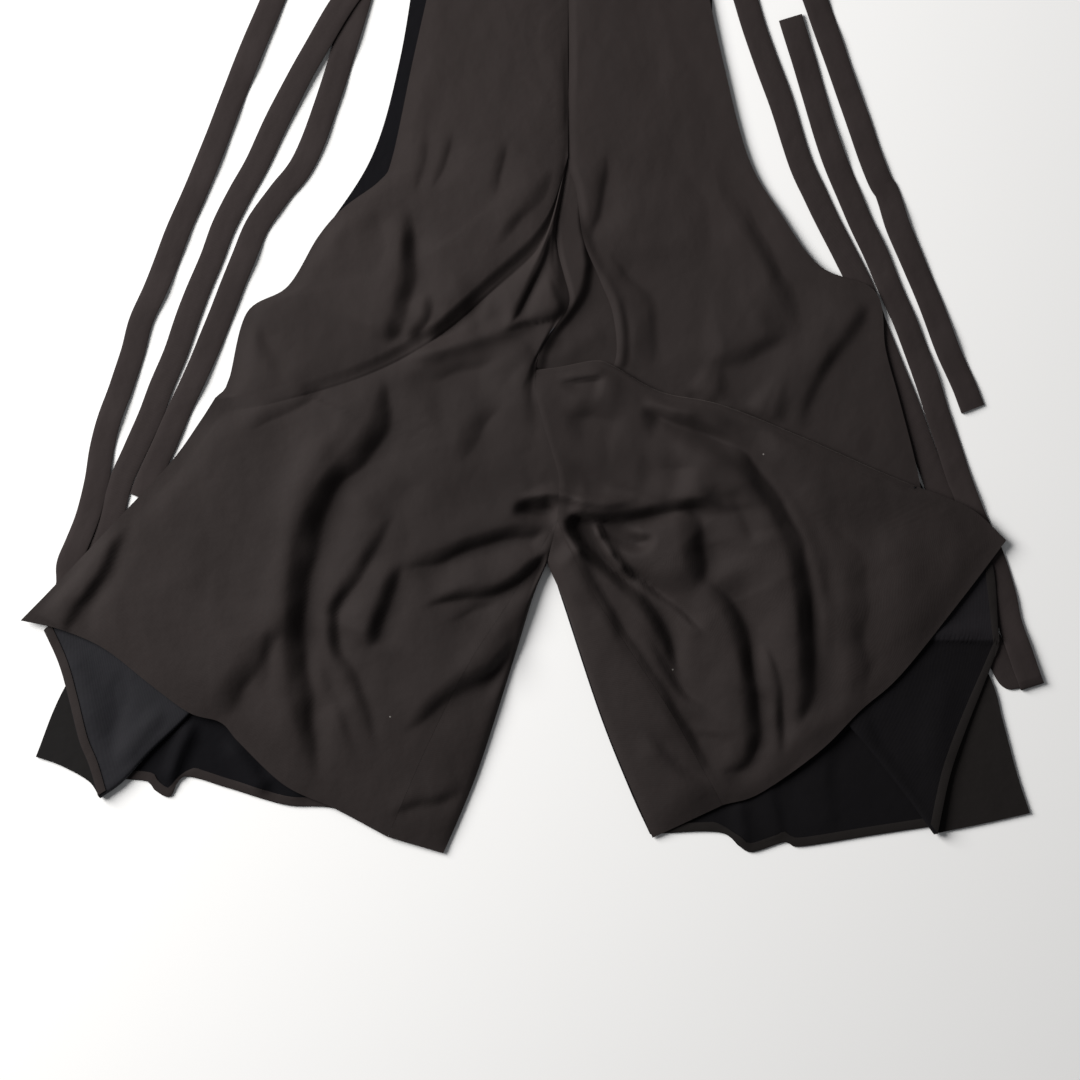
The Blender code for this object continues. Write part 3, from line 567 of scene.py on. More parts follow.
# Rolls, rows (name, half width, height, fades, route).
LEFT_ROLLS = [
    ("ridge", 10, 3.5, (0.15, 0.3), [(540, 322), (510, 329), (485, 337), (455, 345), (425, 353),
     (390, 360)]),
    ("main ridge", 15, 2.4, (0.25, 0.3), [(350, 395), (338, 430), (308, 470), (290, 540), (281, 640),
     (284, 720)]),
    ("inner ridge", 14, 1.6, (0.3, 0.35), [(525, 600), (480, 650), (440, 700), (405, 760)]),
    ("right soft", 18, -1.6, (0.3, 0.35), [(430, 480), (400, 500), (372, 528)]),
]
LEFT_EDGE_ROLLS = [
    ("edge strip", 9, 1.8, (0.25, 0.3), [(116, 528), (92, 560), (70, 590), (45, 616)]),
    ("side groove", 4, -3.2, (0.3, 0.35), [(224, 398), (207, 424), (186, 450), (160, 480)]),
    ("corner", 10, -4, (0.4, 0.1), [(92, 596), (82, 612), (74, 632)]),
]
LEFT_EDGE_STEPS = [
    ("edge groove", 6, 4.2, 4.4, (0.25, 0.04), [(128, 514), (116, 544), (102, 574), (83, 603),
     (66, 634)]),
]
RIGHT_STEPS = [
    ("edge valley", 11, 1.6, 2.4, (0.3, 0.25), [(602, 250), (622, 280), (640, 302), (646, 340),
     (648, 372)]),
    ("top left", 7, 1.2, 2.2, (0.35, 0.35), [(604, 150), (596, 196), (587, 244)]),
    ("diagonal", 10, 2.6, 1.8, (0.35, 0.3), [(716, 150), (728, 195), (758, 242), (784, 296), (804, 345)]),
    ("upper soft", 14, 1.2, 1.2, (0.35, 0.35), [(678, 170), (692, 216), (708, 262)]),
    ("dimple", 9, 3, 2.2, (0.3, 0.3), [(790, 333), (765, 344), (740, 354), (700, 364)]),
    ("slit crease", 10, 4, 2.6, (0.15, 0.3), [(870, 300), (852, 332), (823, 373), (808, 405),
     (800, 440)]),
    ("pocket 1", 8, 1.8, 2.2, (0.4, 0.4), [(728, 400), (708, 396), (686, 388)]),
    ("pocket 2", 8, 3, 2.8, (0.4, 0.4), [(786, 424), (762, 416), (742, 406)]),
    ("pocket 3", 6, 1, 1.5, (0.4, 0.4), [(868, 460), (846, 450), (824, 444)]),
]
RIGHT_LEG_STEPS = [
    ("top soft", 5, 2, 4, (0.3, 0.4), [(608, 375), (584, 377), (556, 382)]),
    ("upper shade", 11, 2, 2.4, (0.3, 0.35), [(628, 410), (598, 408), (560, 412)]),
    ("soft patch", 12, 2, 2.2, (0.35, 0.35), [(700, 462), (670, 456), (640, 446)]),
    ("diagonal soft", 9, 1.8, 1.8, (0.25, 0.35), [(690, 500), (641, 490), (597, 470), (560, 440)]),
    ("under lip", 7, 4, 5, (0.4, 0.2), [(752, 452), (718, 434), (684, 419), (640, 404)]),
    ("main", 10, 6.6, 6.4, (0.16, 0.12), [(668, 424), (704, 438), (738, 462), (763, 488), (782, 520),
     (794, 563), (802, 608), (804, 667), (801, 704), (792, 728)]),
    ("overhang", 5.5, 6, 5.6, (0.2, 0.1), [(722, 508), (698, 502), (672, 505), (640, 512), (604, 517),
     (566, 515)]),
    ("overhang end", 12, 2, 2.5, (0.35, 0.25), [(716, 494), (729, 510), (739, 528), (744, 549)]),
    ("thin crease", 4, 2.4, 3.4, (0.25, 0.3), [(622, 569), (650, 590), (679, 614), (707, 639)]),
    ("diagonal 1", 7, 6.5, 7.5, (0.1, 0.35), [(568, 534), (590, 556), (621, 585), (650, 616), (667, 650),
     (682, 684)]),
    ("diagonal 2", 8.5, 3.4, 4, (0.15, 0.3), [(560, 540), (578, 570), (600, 600), (630, 652), (678, 723),
     (722, 800)]),
    ("diagonal 3", 6, 1.8, 2.2, (0.3, 0.3), [(641, 726), (678, 771), (718, 797)]),
    ("smile", 6, 2.4, 2.6, (0.3, 0.4), [(641, 630), (675, 686), (701, 710), (730, 724)]),
    ("arc", 8.5, 4.6, 5.4, (0.25, 0.14), [(700, 575), (716, 597), (734, 623), (744, 660), (749, 704),
     (751, 734), (748, 754)]),
    ("arc end", 8, 2.2, 3.4, (0.35, 0.4), [(751, 728), (748, 750), (738, 763), (718, 769)]),
    ("narrow", 5, 2.4, 2.8, (0.3, 0.3), [(758, 630), (770, 665), (777, 705), (780, 760)]),
    ("outer soft", 18, 2.8, 2.8, (0.25, 0.35), [(806, 505), (838, 556), (850, 610), (852, 680),
     (846, 730)]),
    ("under overhang", 12, 6, 6.5, (0.2, 0.35), [(682, 506), (690, 545), (700, 592)]),
]
RIGHT_LEG_ROLLS = [
    ("main valley", 12, -4.6, (0.2, 0.3), [(650, 416), (684, 428), (716, 447), (748, 472), (773, 507),
     (790, 548)]),
    ("outer ridge", 11, 3.4, (0.3, 0.3), [(748, 462), (785, 500), (812, 560), (822, 620), (822, 690)]),
    ("pocket", 8, -12, (0.25, 0.35), [(599, 520), (612, 531), (627, 540), (642, 543), (656, 534)]),
    ("pocket rim", 5, 11, (0.25, 0.3), [(591, 519), (602, 542), (617, 563), (636, 582)]),
    ("outer broad", 30, 2.2, (0.3, 0.3), [(880, 520), (900, 580), (880, 650)]),
]
# Shared by the two legs and their gussets, so that these cross the seams.
CROTCH_ROLLS = [
    ("brow", 6, 8, (0.25, 0.3), [(516, 504), (526, 498), (540, 495), (556, 494), (580, 500), (610, 503),
     (640, 500)]),
    ("ridge below", 5.5, 8, (0.25, 0.35), [(556, 514), (563, 530), (575, 547), (590, 564)]),
    ("mouth", 8.5, -14, (0.4, 0.2), [(511, 514), (526, 510), (542, 511), (558, 507)]),
    ("dark", 10, -13, (0.2, 0.35), [(568, 516), (581, 526), (596, 540), (611, 555)]),
]
RIGHT_EDGE_ROLLS = [
    ("edge strip", 7, 3.4, (0.25, 0.05), [(566, 190), (580, 232), (593, 262), (606, 286), (616, 306),
     (620, 330), (620, 372)]),
    ("strip valley", 4, -0.9, (0.3, 0.1), [(618, 296), (628, 325), (628, 366)]),
]
PLEAT_ROLLS = [
    ("low fold", 12, 1.4, (0.3, 0.3), [(608, 330), (585, 342), (560, 352)]),
]
# How the pleat falls away, rows (y, rise beside the seam, width of that shelf, width of the fall).
PLEAT_PROFILE = [
    (150, 0.5, 18, 10), (200, 1.2, 18, 10), (250, 1.8, 25, 9), (271, 2.2, 22, 10), (290, 2.2, 12, 13),
    (304, 1.2, 4, 13), (313, 0, 1, 12), (330, 0, 0, 12), (370, 0, 0, 10),
]
LEFT_RETURN_ROLLS = [
    ("light", 16, 3, (0.3, 0.3), [(62, 640), (86, 690), (96, 745)]),
    ("crease", 11, -2.2, (0.3, 0.3), [(122, 664), (120, 710), (108, 762)]),
    ("swell", 10, 2.6, (0.3, 0.3), [(168, 704), (142, 732), (116, 768)]),
]
LEFT_BACK_ROLLS = [
    ("sliver", 8, 7, (0.3, 0.15), [(196, 716), (180, 750), (168, 784)]),
    ("wave", 9, 6.5, (0.3, 0.2), [(222, 738), (246, 764), (268, 796)]),
    ("wave 2", 9, 4, (0.3, 0.3), [(262, 762), (290, 786), (312, 802)]),
]
RIGHT_RETURN_STEPS = [
    ("cross seam", 3.6, 3.2, 1.4, (0.06, 0.1), [(1006, 641), (975, 640), (940, 639), (905, 640)]),
    ("diagonal", 9, 1.5, 1.5, (0.3, 0.3), [(858, 704), (876, 752), (900, 790), (926, 824)]),
]
RIGHT_RETURN_ROLLS = [
    ("swell", 20, 2.5, (0.3, 0.3), [(950, 668), (938, 720), (930, 780)]),
]
RIGHT_BACK_STEPS = [
    ("fold", 5, 2, 1.6, (0.15, 0.1), [(772, 780), (778, 806), (784, 838)]),
    ("long", 9, 1.6, 1.4, (0.3, 0.2), [(838, 730), (832, 780), (838, 836)]),
]
RIGHT_BACK_ROLLS = [
    ("highlight", 9, 2.6, (0.3, 0.2), [(738, 796), (741, 820), (745, 850)]),
]


# ---------------------------------------------------------------- panels


def shared_seams():
    return {
        "upper": curve(SEAM_UPPER, ROWS_SEAM_UPPER),
        "lower": curve(SEAM_LOWER, ROWS_SEAM_LOWER),
        "left": curve(LEFT_GUSSET_SEAM, ROWS_GUSSET),
        "right": curve(RIGHT_GUSSET_SEAM, ROWS_GUSSET),
        "back": curve(BACK_CENTRE, ROWS_BACK, CLOTH),
    }


def held(grid, **edges):
    """The share of its folds that the sheet keeps: by each named edge less, down to a least over a reach."""
    share = 1
    for side, (reach, least) in edges.items():
        share = share * (least + (1 - least) * smoothstep(from_edge(grid, side) / reach))
    return share


def folds_at(grid, steps, rolls, seed):
    return FOLD_DEPTH * relief(grid[..., :2], steps, rolls) + unevenness(grid, seed)


def side_floor(x, side):
    """The least height of a leg's face: over the side panel's layers, or over the back panel alone."""
    return LEAST_FACE + SIDE_LAYERS * smoothstep((x * side - SIDE_FROM) / 70)


def settled(sheet, lowest):
    """The sheet kept from sinking below lowest, with a soft landing."""
    soft = 1.0
    above = np.clip((sheet[..., 2] - lowest) / soft, -30, 30)
    out = sheet.copy()
    out[..., 2] = lowest + soft * np.where(above > 4, above, np.log1p(np.exp(above)))
    return out


LEFT_LIP_DROP = 8.0  # from the left ridge to the leg below it
# The lip there, rows (distance from the ridge, rise).
LEFT_LIP = [(1.2, -0.15), (3, -0.8), (5, -2.1), (7, -3.7), (9, -5.2), (11, -6.5), (13, -7.4), (16, -8)]


def front_panel_left(seams):
    """One sheet from waist to hem, stepping down in a rounded lip below the pleat's edge."""
    ridge = curve(LEFT_RIDGE, COLUMNS_FRONT)
    slit, centre_front = curve(LEFT_SLIT, ROWS_ABOVE_LEFT), curve(CENTRE_FRONT, ROWS_ABOVE_LEFT)
    above = patch(curve(LEFT_WAIST, COLUMNS_FRONT), ridge, slit, centre_front)

    # Below its lip the fold slopes down to the leg, steeply in the middle and hardly at all by the side.
    apex_distance = np.linalg.norm(ridge[:, :2] - ridge[-1, :2], axis=1)
    by_apex = 0.1 + 0.9 * smoothstep((apex_distance - 20) / 90)
    drop = LEFT_LIP_DROP * smoothstep((ridge[:, 0] + 330) / 250) * by_apex
    reach = 0.05 + 0.95 * smoothstep((apex_distance - 30) / 80)
    fold = [offset_row(ridge, out * reach, rise * drop / LEFT_LIP_DROP) for out, rise in LEFT_LIP]
    foot = fold.pop()
    centre = joined(seams["upper"], seams["lower"], seams["left"])
    outer = curve(LEFT_OUTER, len(centre))
    centre[0, :2] = 0.6 * centre[0, :2] + 0.4 * centre[1, :2]
    centre[0, 2] = foot[-1, 2]
    outer[0] = 0.6 * outer[0] + 0.4 * outer[1]
    foot[0], foot[-1] = outer[0], centre[0]
    below = patch(foot, curve(LEFT_HEM, COLUMNS_FRONT), outer, centre)
    by_seam = smoothstep(np.linspace(-1.8, 1.2, COLUMNS_FRONT))[:, None]
    below = below * (1 - by_seam) + relaxed(below) * by_seam

    above = lofted(above, LEFT_UPPER_LOFT, UPPER_LOFT_REACH, "left right bottom")
    down_seam = from_edge(below[ROWS_SEAM_UPPER - 1 :], "top")[:, -1:]
    at_seam = np.vstack([np.zeros((ROWS_SEAM_UPPER - 1, 1)), rounded(down_seam / LOFT_REACH)])
    off_seam = rounded(from_edge(below, "right") / 30)
    loft = LEG_LOFT * (off_seam + (1 - off_seam) * at_seam)
    below = lofted(below, loft, LOFT_REACH, "left top bottom")
    for n, row in enumerate(fold):
        share = (n + 1) / (len(fold) + 1)
        row[0] = above[-1, 0] + (below[0, 0] - above[-1, 0]) * share
        row[-1] = above[-1, -1] + (below[0, -1] - above[-1, -1]) * share
    sheet = np.concatenate([above, fold, below])
    gusset_from = len(sheet) - ROWS_GUSSET
    seam = smoothstep((np.arange(len(sheet)) - gusset_from) / 10)[:, None]
    hold = held(sheet, left=HELD_BY_EDGE, bottom=HELD_BY_HEM)
    hold = hold * (seam + (1 - seam) * held(sheet, right=HELD_BY_SEAM))
    sheet[..., 2] += hold * folds_at(sheet, LEFT_STEPS, LEFT_ROLLS, LEFT_SEED)
    sheet[..., 2] += relief(sheet[..., :2], LEFT_EDGE_STEPS, LEFT_EDGE_ROLLS + CROTCH_ROLLS)
    lowest = np.full(sheet.shape[:2], UPPER_LEAST)
    lowest[len(above) :] = side_floor(sheet[len(above) :, :, 0], -1)
    return inset(settled(sheet, lowest), "left")


def front_panel_right(seams):
    """One sheet from waist to hem, folded back on itself like a Z at the ridge: the leg overhangs."""
    upper_z, turn_z, return_z, lip_return_z, lip_z = RIDGE_LAYERS
    ridge = curve(RIGHT_RIDGE, COLUMNS_FRONT)
    hidden = ridge - (0, RIDGE_TUCK, 0)
    hidden[:, 0] += np.linspace(45, 12, COLUMNS_FRONT)
    hidden[:, 2] = upper_z
    edge = curve([*RIGHT_EDGE, tuple(hidden[0])], ROWS_ABOVE_RIGHT)
    side = curve([*RIGHT_SLIT, tuple(hidden[-1])], ROWS_ABOVE_RIGHT)
    upper = patch(curve(RIGHT_WAIST, COLUMNS_FRONT), hidden, edge, side)
    upper = lofted(upper, RIGHT_UPPER_LOFT, UPPER_LOFT_REACH, "left right bottom")
    hold = held(upper, left=(10, 0.2), right=(25, 0.2), bottom=(20, 0.2))
    upper[..., 2] += hold * folds_at(upper, RIGHT_STEPS, [], UPPER_RIGHT_SEED)
    upper[..., 2] += relief(upper[..., :2], [], RIGHT_EDGE_ROLLS)
    over_sides = smoothstep((upper[..., 0] - SIDE_FROM) / 50)
    upper = settled(upper, UPPER_LEAST + UPPER_SIDE_LAYERS * over_sides)

    turn = hidden + (0, -1.6, turn_z - upper_z)
    turned = hidden + (0, 0, return_z - upper_z)
    below_lip = offset_row(ridge, 3, 0)
    below_lip[:, 2] = lip_return_z
    lip = ridge.copy()
    lip[:, 2] = lip_z
    over = offset_row(ridge, 1.6, 0.6)
    start = offset_row(ridge, 5, 1.2)

    centre = joined(seams["lower"], seams["right"])
    outer = curve(RIGHT_OUTER, len(centre))
    centre[0] = start[0] = 0.5 * centre[0] + 0.5 * centre[1]
    outer[0] = start[-1] = 0.7 * outer[0] + 0.3 * outer[2]
    leg = patch(start, curve(RIGHT_HEM, COLUMNS_FRONT), centre, outer)
    leg = lofted(leg, LEG_LOFT, LOFT_REACH, "right top bottom")
    seam = smoothstep((np.arange(len(leg)) - ROWS_SEAM_LOWER) / 10)[:, None]
    hold = held(leg, right=HELD_BY_EDGE, bottom=HELD_BY_HEM, top=HELD_BY_LIP)
    hold = hold * (seam + (1 - seam) * held(leg, left=HELD_BY_SEAM))
    leg[..., 2] += hold * folds_at(leg, RIGHT_LEG_STEPS, RIGHT_LEG_ROLLS, RIGHT_SEED)
    leg[..., 2] += relief(leg[..., :2], [], CROTCH_ROLLS)
    leg = settled(leg, side_floor(leg[..., 0], 1))
    between = [turned + (below_lip - turned) * t for t in np.linspace(0, 1, 8)[1:-1]]
    rows = [*upper, turn, turned, *between, below_lip, lip, over, *leg]
    return np.array(rows)


def gusset(seam, inseam, steps, rolls, seed):
    """The long wedge set between a front panel and the inside leg, rounded down to the edge of the leg."""
    inner = curve(inseam, len(seam))
    seam = seam + (0, 0, LEG_LOFT)
    up_seam = from_edge(seam[:, None], "bottom")[:, 0]
    seam[:, 2] -= LEG_LOFT * (1 - np.clip(up_seam / LOFT_REACH, 0, 1)) ** 2
    top, bottom = (spaced([seam[end], inner[end]], COLUMNS_GUSSET) for end in (0, -1))
    sheet = patch(top, bottom, seam, inner)
    u = np.linspace(0, 1, COLUMNS_GUSSET)[None, :]
    sheet[..., 2] = inner[:, 2:] + (seam[:, 2:] - inner[:, 2:]) * np.sqrt(np.clip(1 - u**2.2, 0, 1))
    hold = held(sheet, bottom=HELD_BY_HEM) * (1 - 0.8 * smoothstep((u - 0.6) / 0.4))
    sheet[..., 2] += hold * folds_at(sheet, steps, rolls, seed)
    sheet[..., 2] += (1 - smoothstep((u - 0.3) / 0.7)) * relief(sheet[..., :2], [], CROTCH_ROLLS)
    lowest = LEAST_FACE - 0.6 * smoothstep(u / 0.5) + np.zeros(sheet.shape[:2])
    return inset(settled(sheet, lowest), "left top")


def centre_pleat(seams):
    """The inner layer that shows in the opening between the two front panels."""
    left = seams["upper"].copy()
    under = curve(PLEAT_EDGE, len(left))
    bottom = spaced(PLEAT_FOOT, COLUMNS_PLEAT)
    left[-1], under[-1] = bottom[0], bottom[-1]
    sheet = patch(spaced([left[0], under[0]], COLUMNS_PLEAT), bottom, left, under)
    v = np.linspace(0, 1, len(left))[:, None]
    u = np.linspace(0, 1, COLUMNS_PLEAT)[None, :]
    # Beside the seam it lies as a narrow shelf, and then it falls away to its own level.
    drawn_y = CROTCH[1] - left[:, 1] / GRID
    at_y, *profile = zip(*PLEAT_PROFILE)
    rise, shelf, width = (np.interp(drawn_y, at_y, column)[:, None] * GRID for column in profile)
    away = from_edge(sheet, "left")
    fall = smoothstep((away - shelf) / width)
    floor = PLEAT_FLOOR + 2.6 * smoothstep((drawn_y[:, None] - 315) / 25)
    floor = floor + 2.6 * smoothstep((drawn_y[:, None] - 345) / 15) * (1 - smoothstep((away - 20) / 40))
    level = left[:, 2:] + rise * smoothstep(away / 6)
    sheet[..., 2] = level * (1 - fall) + floor * fall
    inside = smoothstep(8 * u) * smoothstep(7 * (1 - v)) * smoothstep(8 * (1 - u))
    sheet[..., 2] += inside * relief(sheet[..., :2], [], PLEAT_ROLLS)
    sheet[..., 2] = np.maximum(sheet[..., 2], LEAST_FACE)
    return sheet


def back_panel(seams, inner, side, hem, steps, rolls):
    """A panel flat on the floor, from the centre back seam to the side fold, with folds where it shows."""
    centre = joined(seams["back"], curve(inner, ROWS_BACK_INNER, CLOTH))
    outer = curve(side, len(centre), CLOTH)
    hem = curve(hem, COLUMNS_BACK, CLOTH)
    on_left = outer[0, 0] < centre[0, 0]
    left, right = (outer, centre) if on_left else (centre, outer)
    sheet = relaxed(patch(spaced([left[0], right[0]], COLUMNS_BACK), hem, left, right))
    sheet[..., 2] = np.maximum(sheet[..., 2] + relief(sheet[..., :2], steps, rolls), CLOTH)
    return inset(sheet, "right" if on_left else "left")


def side_panel(tuck_edge, fold, return_edge, tuck_hem, return_hem, steps, rolls):
    """A sheet folded lengthwise: the tuck on the back panel, the rounded fold, and the return above it."""
    fold_line = curve(fold, ROWS_SIDE)
    opening = fold_line[:, 2].copy()
    fold_line[:, 2] = TUCK_Z
    tuck_line = curve(tuck_edge, ROWS_SIDE, TUCK_Z)
    tuck_top = spaced([tuck_line[0], fold_line[0]], COLUMNS_TUCK)
    tuck = patch(tuck_top, curve(tuck_hem, COLUMNS_TUCK, TUCK_Z), tuck_line, fold_line)

    return_line = curve(return_edge, ROWS_SIDE, RETURN_Z)
    bottom = curve(return_hem, COLUMNS_RETURN, RETURN_Z)
    upper_line = fold_line.copy()
    upper_line[:, 2] = TUCK_Z + opening
    bottom[:, 2] += (upper_line[-1, 2] - RETURN_Z) * np.linspace(1, 0, COLUMNS_RETURN) ** 2
    top = spaced([upper_line[0], return_line[0]], COLUMNS_RETURN)
    back = patch(top, bottom, upper_line, return_line)
    folds = held(back, left=(12, 0)) * relief(back[..., :2], steps, rolls)
    back[..., 2] = np.maximum(back[..., 2] + folds, RETURN_Z)
    out = unit(tuck[:, -1] - tuck[:, -2])
    turn = []
    for angle in np.linspace(-math.pi / 2, math.pi / 2, COLUMNS_TURN + 2)[1:-1]:
        row = fold_line + out * (opening / 2 * math.cos(angle))[:, None]
        row[:, 2] = TUCK_Z + opening / 2 * (1 + math.sin(angle))
        turn.append(row)
    return np.concatenate([tuck, np.array(turn).swapaxes(0, 1), back], axis=1)

# Ties on the drafting grid, rows (x, y) or (x, y, z of the upper face) down from the waistband. A front tie
# is long and lies doubled: down the first strand, folded over and back up the second. z is BAND where not
# stated. A fold-over states its middle and the direction of its crease.
LEFT_TIE_DOWN = [
    (429.5, -44.3, 7), (401.5, -43.4, 7), (372.5, -29.7, 6.2), (345, 1, 6), (310.6, 57.5, 5.6),
    (283.4, 108.5, 3.6), (258, 162), (240, 194), (223.5, 226), (212, 258), (198.5, 290), (186.5, 322),
    (175, 354), (161.5, 386), (149.5, 418), (135.5, 450), (121, 482), (112.5, 514), (105, 538), (90, 566),
    (78, 580),
]
LEFT_TIE_UP = [
    (299.7, -69.7), (272.5, 0), (239.7, 80), (207.5, 162), (194.5, 194), (180.5, 226), (168, 258),
    (155, 290), (140.5, 322), (132.5, 354), (122, 386), (110, 418), (101.5, 450), (96.5, 482),
    (88.5, 514), (76.5, 546), (69, 566),
]
LEFT_FOLD_OVER = (67, 590, 0.86, 0.5)
RIGHT_TIE_DOWN = [
    (708, -43, 7), (714.3, -43, 7), (723.4, -38.8, 6.4), (734.3, -28, 5), (744, -6, 2.8), (757, 36),
    (780, 100), (800, 162), (815, 194), (830, 226), (846.5, 258), (862, 290), (877, 330), (893, 370),
    (906, 402), (923.7, 450), (936.5, 485), (949, 520), (960, 560), (972, 600), (984, 630), (996, 651),
    (1006, 672), (1012.5, 680), (1021, 684),
]
RIGHT_TIE_UP = [
    (790.6, 17.5), (810.6, 84.8), (822, 124), (835.5, 162), (848.5, 194), (862, 226), (877, 258),
    (890.5, 290), (905, 322), (917.5, 354), (928.5, 386), (938.5, 418), (949.5, 450), (960.5, 482),
    (973, 514), (988, 546), (1003, 592), (1010, 624), (1020, 652),
]
RIGHT_FOLD_OVER = (1031.5, 684.5, 0.95, -0.3)
BACK_TIE_LEFT = [
    (416, -75.6), (403.4, -75), (383.4, -60.6), (368.8, -32.5), (352.5, 22), (328.8, 97.5), (303.5, 162),
    (279.5, 194), (257.5, 226), (243.5, 258), (230.5, 290), (218, 322), (205.5, 354), (191, 386),
    (176, 418), (161.7, 450), (148, 480), (140.5, 498),
]
BACK_TIE_RIGHT = [
    (716, -75.6), (727, -76.5), (750.6, -87), (781.5, -68), (815, 0), (872, 162), (887.5, 194),
    (898, 226), (911, 258), (924.5, 290), (937, 322), (949.5, 354), (964, 386), (973, 409),
]
# Waistbands, rows (name, y of the middle, z of the upper face, from x, to x), in millimetres.
WAISTBANDS = [
    ("waistband_front", 666.5, 7, -128.5, 175.5),
    ("waistband_back", 702.5, BAND, -143, 185),
]


ACROSS = np.sin(np.linspace(math.pi / 2, -math.pi / 2, COLUMNS_TIE))  # places across a tie, 1 at its left
# How far its face lies below the highest: thinner edges, and a line of stitches along each.
CROWN = 0.9 * ACROSS**8 + 0.4 * np.exp(-(((np.abs(ACROSS) - 0.8) / 0.08) ** 2))


def strip(route, count):
    """A flat strip's middle line, and half its width squared to that, with a slight sway."""
    line = curve(route, (count - 1) * 6 + 1)
    along = unit(np.gradient(line[:, :2], axis=0))[::6]
    centre = line[::6]
    run = run_along(centre)
    start = route[-1][0]
    left = np.column_stack([-along[:, 1], along[:, 0], np.zeros(count)])
    sway = 0.3 * np.sin(run / 31 + start) + 0.12 * np.sin(run / 12 + 2 * start)
    wide = TIE_WIDTH / 2 * (1 + 0.012 * np.sin(run / 19 + start) + 0.012 * np.sin(run / 43 + 3 * start))
    return centre + left * sway[:, None], left * wide[:, None], run


def flat_face(centre, half):
    return centre[:, None] + half[:, None] * ACROSS[None, :, None]


def strap(route, count):
    """A tie's face, full in the middle and thinner where its long edges are folded and stitched."""
    centre, half, run = strip(route, count)
    return lain(flat_face(centre, half), run) - CROWN[None, :, None] * (0, 0, 1)


def lain(face, run):
    """The tie not quite flat: it lifts and tilts a little along its length."""
    face = face.copy()
    lift = 0.45 + 0.3 * np.sin(run / 17) + 0.25 * np.sin(run / 8.3 + 1)
    tilt = 0.45 * np.sin(run / 23 + 2) + 0.3 * np.sin(run / 11 + 0.5)
    face[..., 2] += lift[:, None] + tilt[:, None] * ACROSS
    return face


def doubled_tie(down_route, up_route, fold_over):
    """A long tie laid in two strands: the outer face as a grid, and the tie's thickness there.

    It starts at the free end, comes down over the first strand, folds under itself and runs back up to the
    waistband. Past the fold the same face lies underneath.
    """
    stack = 2 * TIE_THICKNESS + 0.2
    fold = off_grid([fold_over[:2]])[0]
    over, half_over, run = strip([*off_grid(up_route), fold], ROWS_TIE)
    under, half_under, _ = strip([fold, *off_grid(down_route)[::-1]], ROWS_TIE)
    crease = np.array([fold_over[2], -fold_over[3], 0])
    crease *= TIE_WIDTH / 2 * np.sign(crease @ half_over[-1]) / np.linalg.norm(crease)
    left_after = np.sign(half_under[0] @ crease)
    near_fold = smoothstep((np.arange(ROWS_TIE) - ROWS_TIE + 14) / 13)[:, None]
    half_over = half_over * (1 - near_fold) + crease * near_fold
    half_under = left_after * half_under * (1 - near_fold[::-1]) + crease * near_fold[::-1]

    top = lain(flat_face(over, half_over), run)
    top[..., 2] += (stack - BAND) * smoothstep((run - run[-1] + 95) / 70)[:, None]
    top[-1, :, 2] = top[-2, :, 2] = stack
    top[..., 2] -= CROWN
    bottom = flat_face(under, half_under)
    bottom[..., 2] -= TIE_THICKNESS
    past = unit(np.array([crease[1], -crease[0], 0]))
    past *= np.sign(past @ (over[-1] - over[-3]))
    turn = []
    for angle in np.linspace(math.pi / 2, -math.pi / 2, 9)[1:-1]:
        row = fold + past * (stack / 2 * math.cos(angle)) + crease * ACROSS[:, None]
        row[:, 2] = stack / 2 * (1 + math.sin(angle))
        turn.append(row)
    outer = np.concatenate([top[:-1], turn, bottom[1:]])
    return outer, np.broadcast_to(TIE_THICKNESS - CROWN, outer.shape[:2])


def waistband(y, z, from_x, to_x):
    centre, half, _ = strip([(from_x, y, z), (to_x, y, z)], ROWS_WAISTBAND)
    return flat_face(centre, half) - CROWN[None, :, None] * (0, 0, 1)


# ---------------------------------------------------------------- materials


def feed(made, inputs):
    """Gives each named input its value, or a link from the socket or from the node's first output."""
    for name, value in inputs.items():
        if isinstance(value, bpy.types.Node):
            value = next(output for output in value.outputs if output.enabled)
        if isinstance(value, bpy.types.NodeSocket):
            made.id_data.links.new(value, made.inputs[name])
        else:
            made.inputs[name].default_value = value


def node(tree, kind, inputs, **settings):
    made = tree.nodes.new(kind)
    for name, value in settings.items():
        setattr(made, name, value)
    feed(made, inputs)
    return made


def plain_material(name):
    material = bpy.data.materials.new(name)
    material.use_nodes = True
    return material, material.node_tree.nodes["Principled BSDF"]


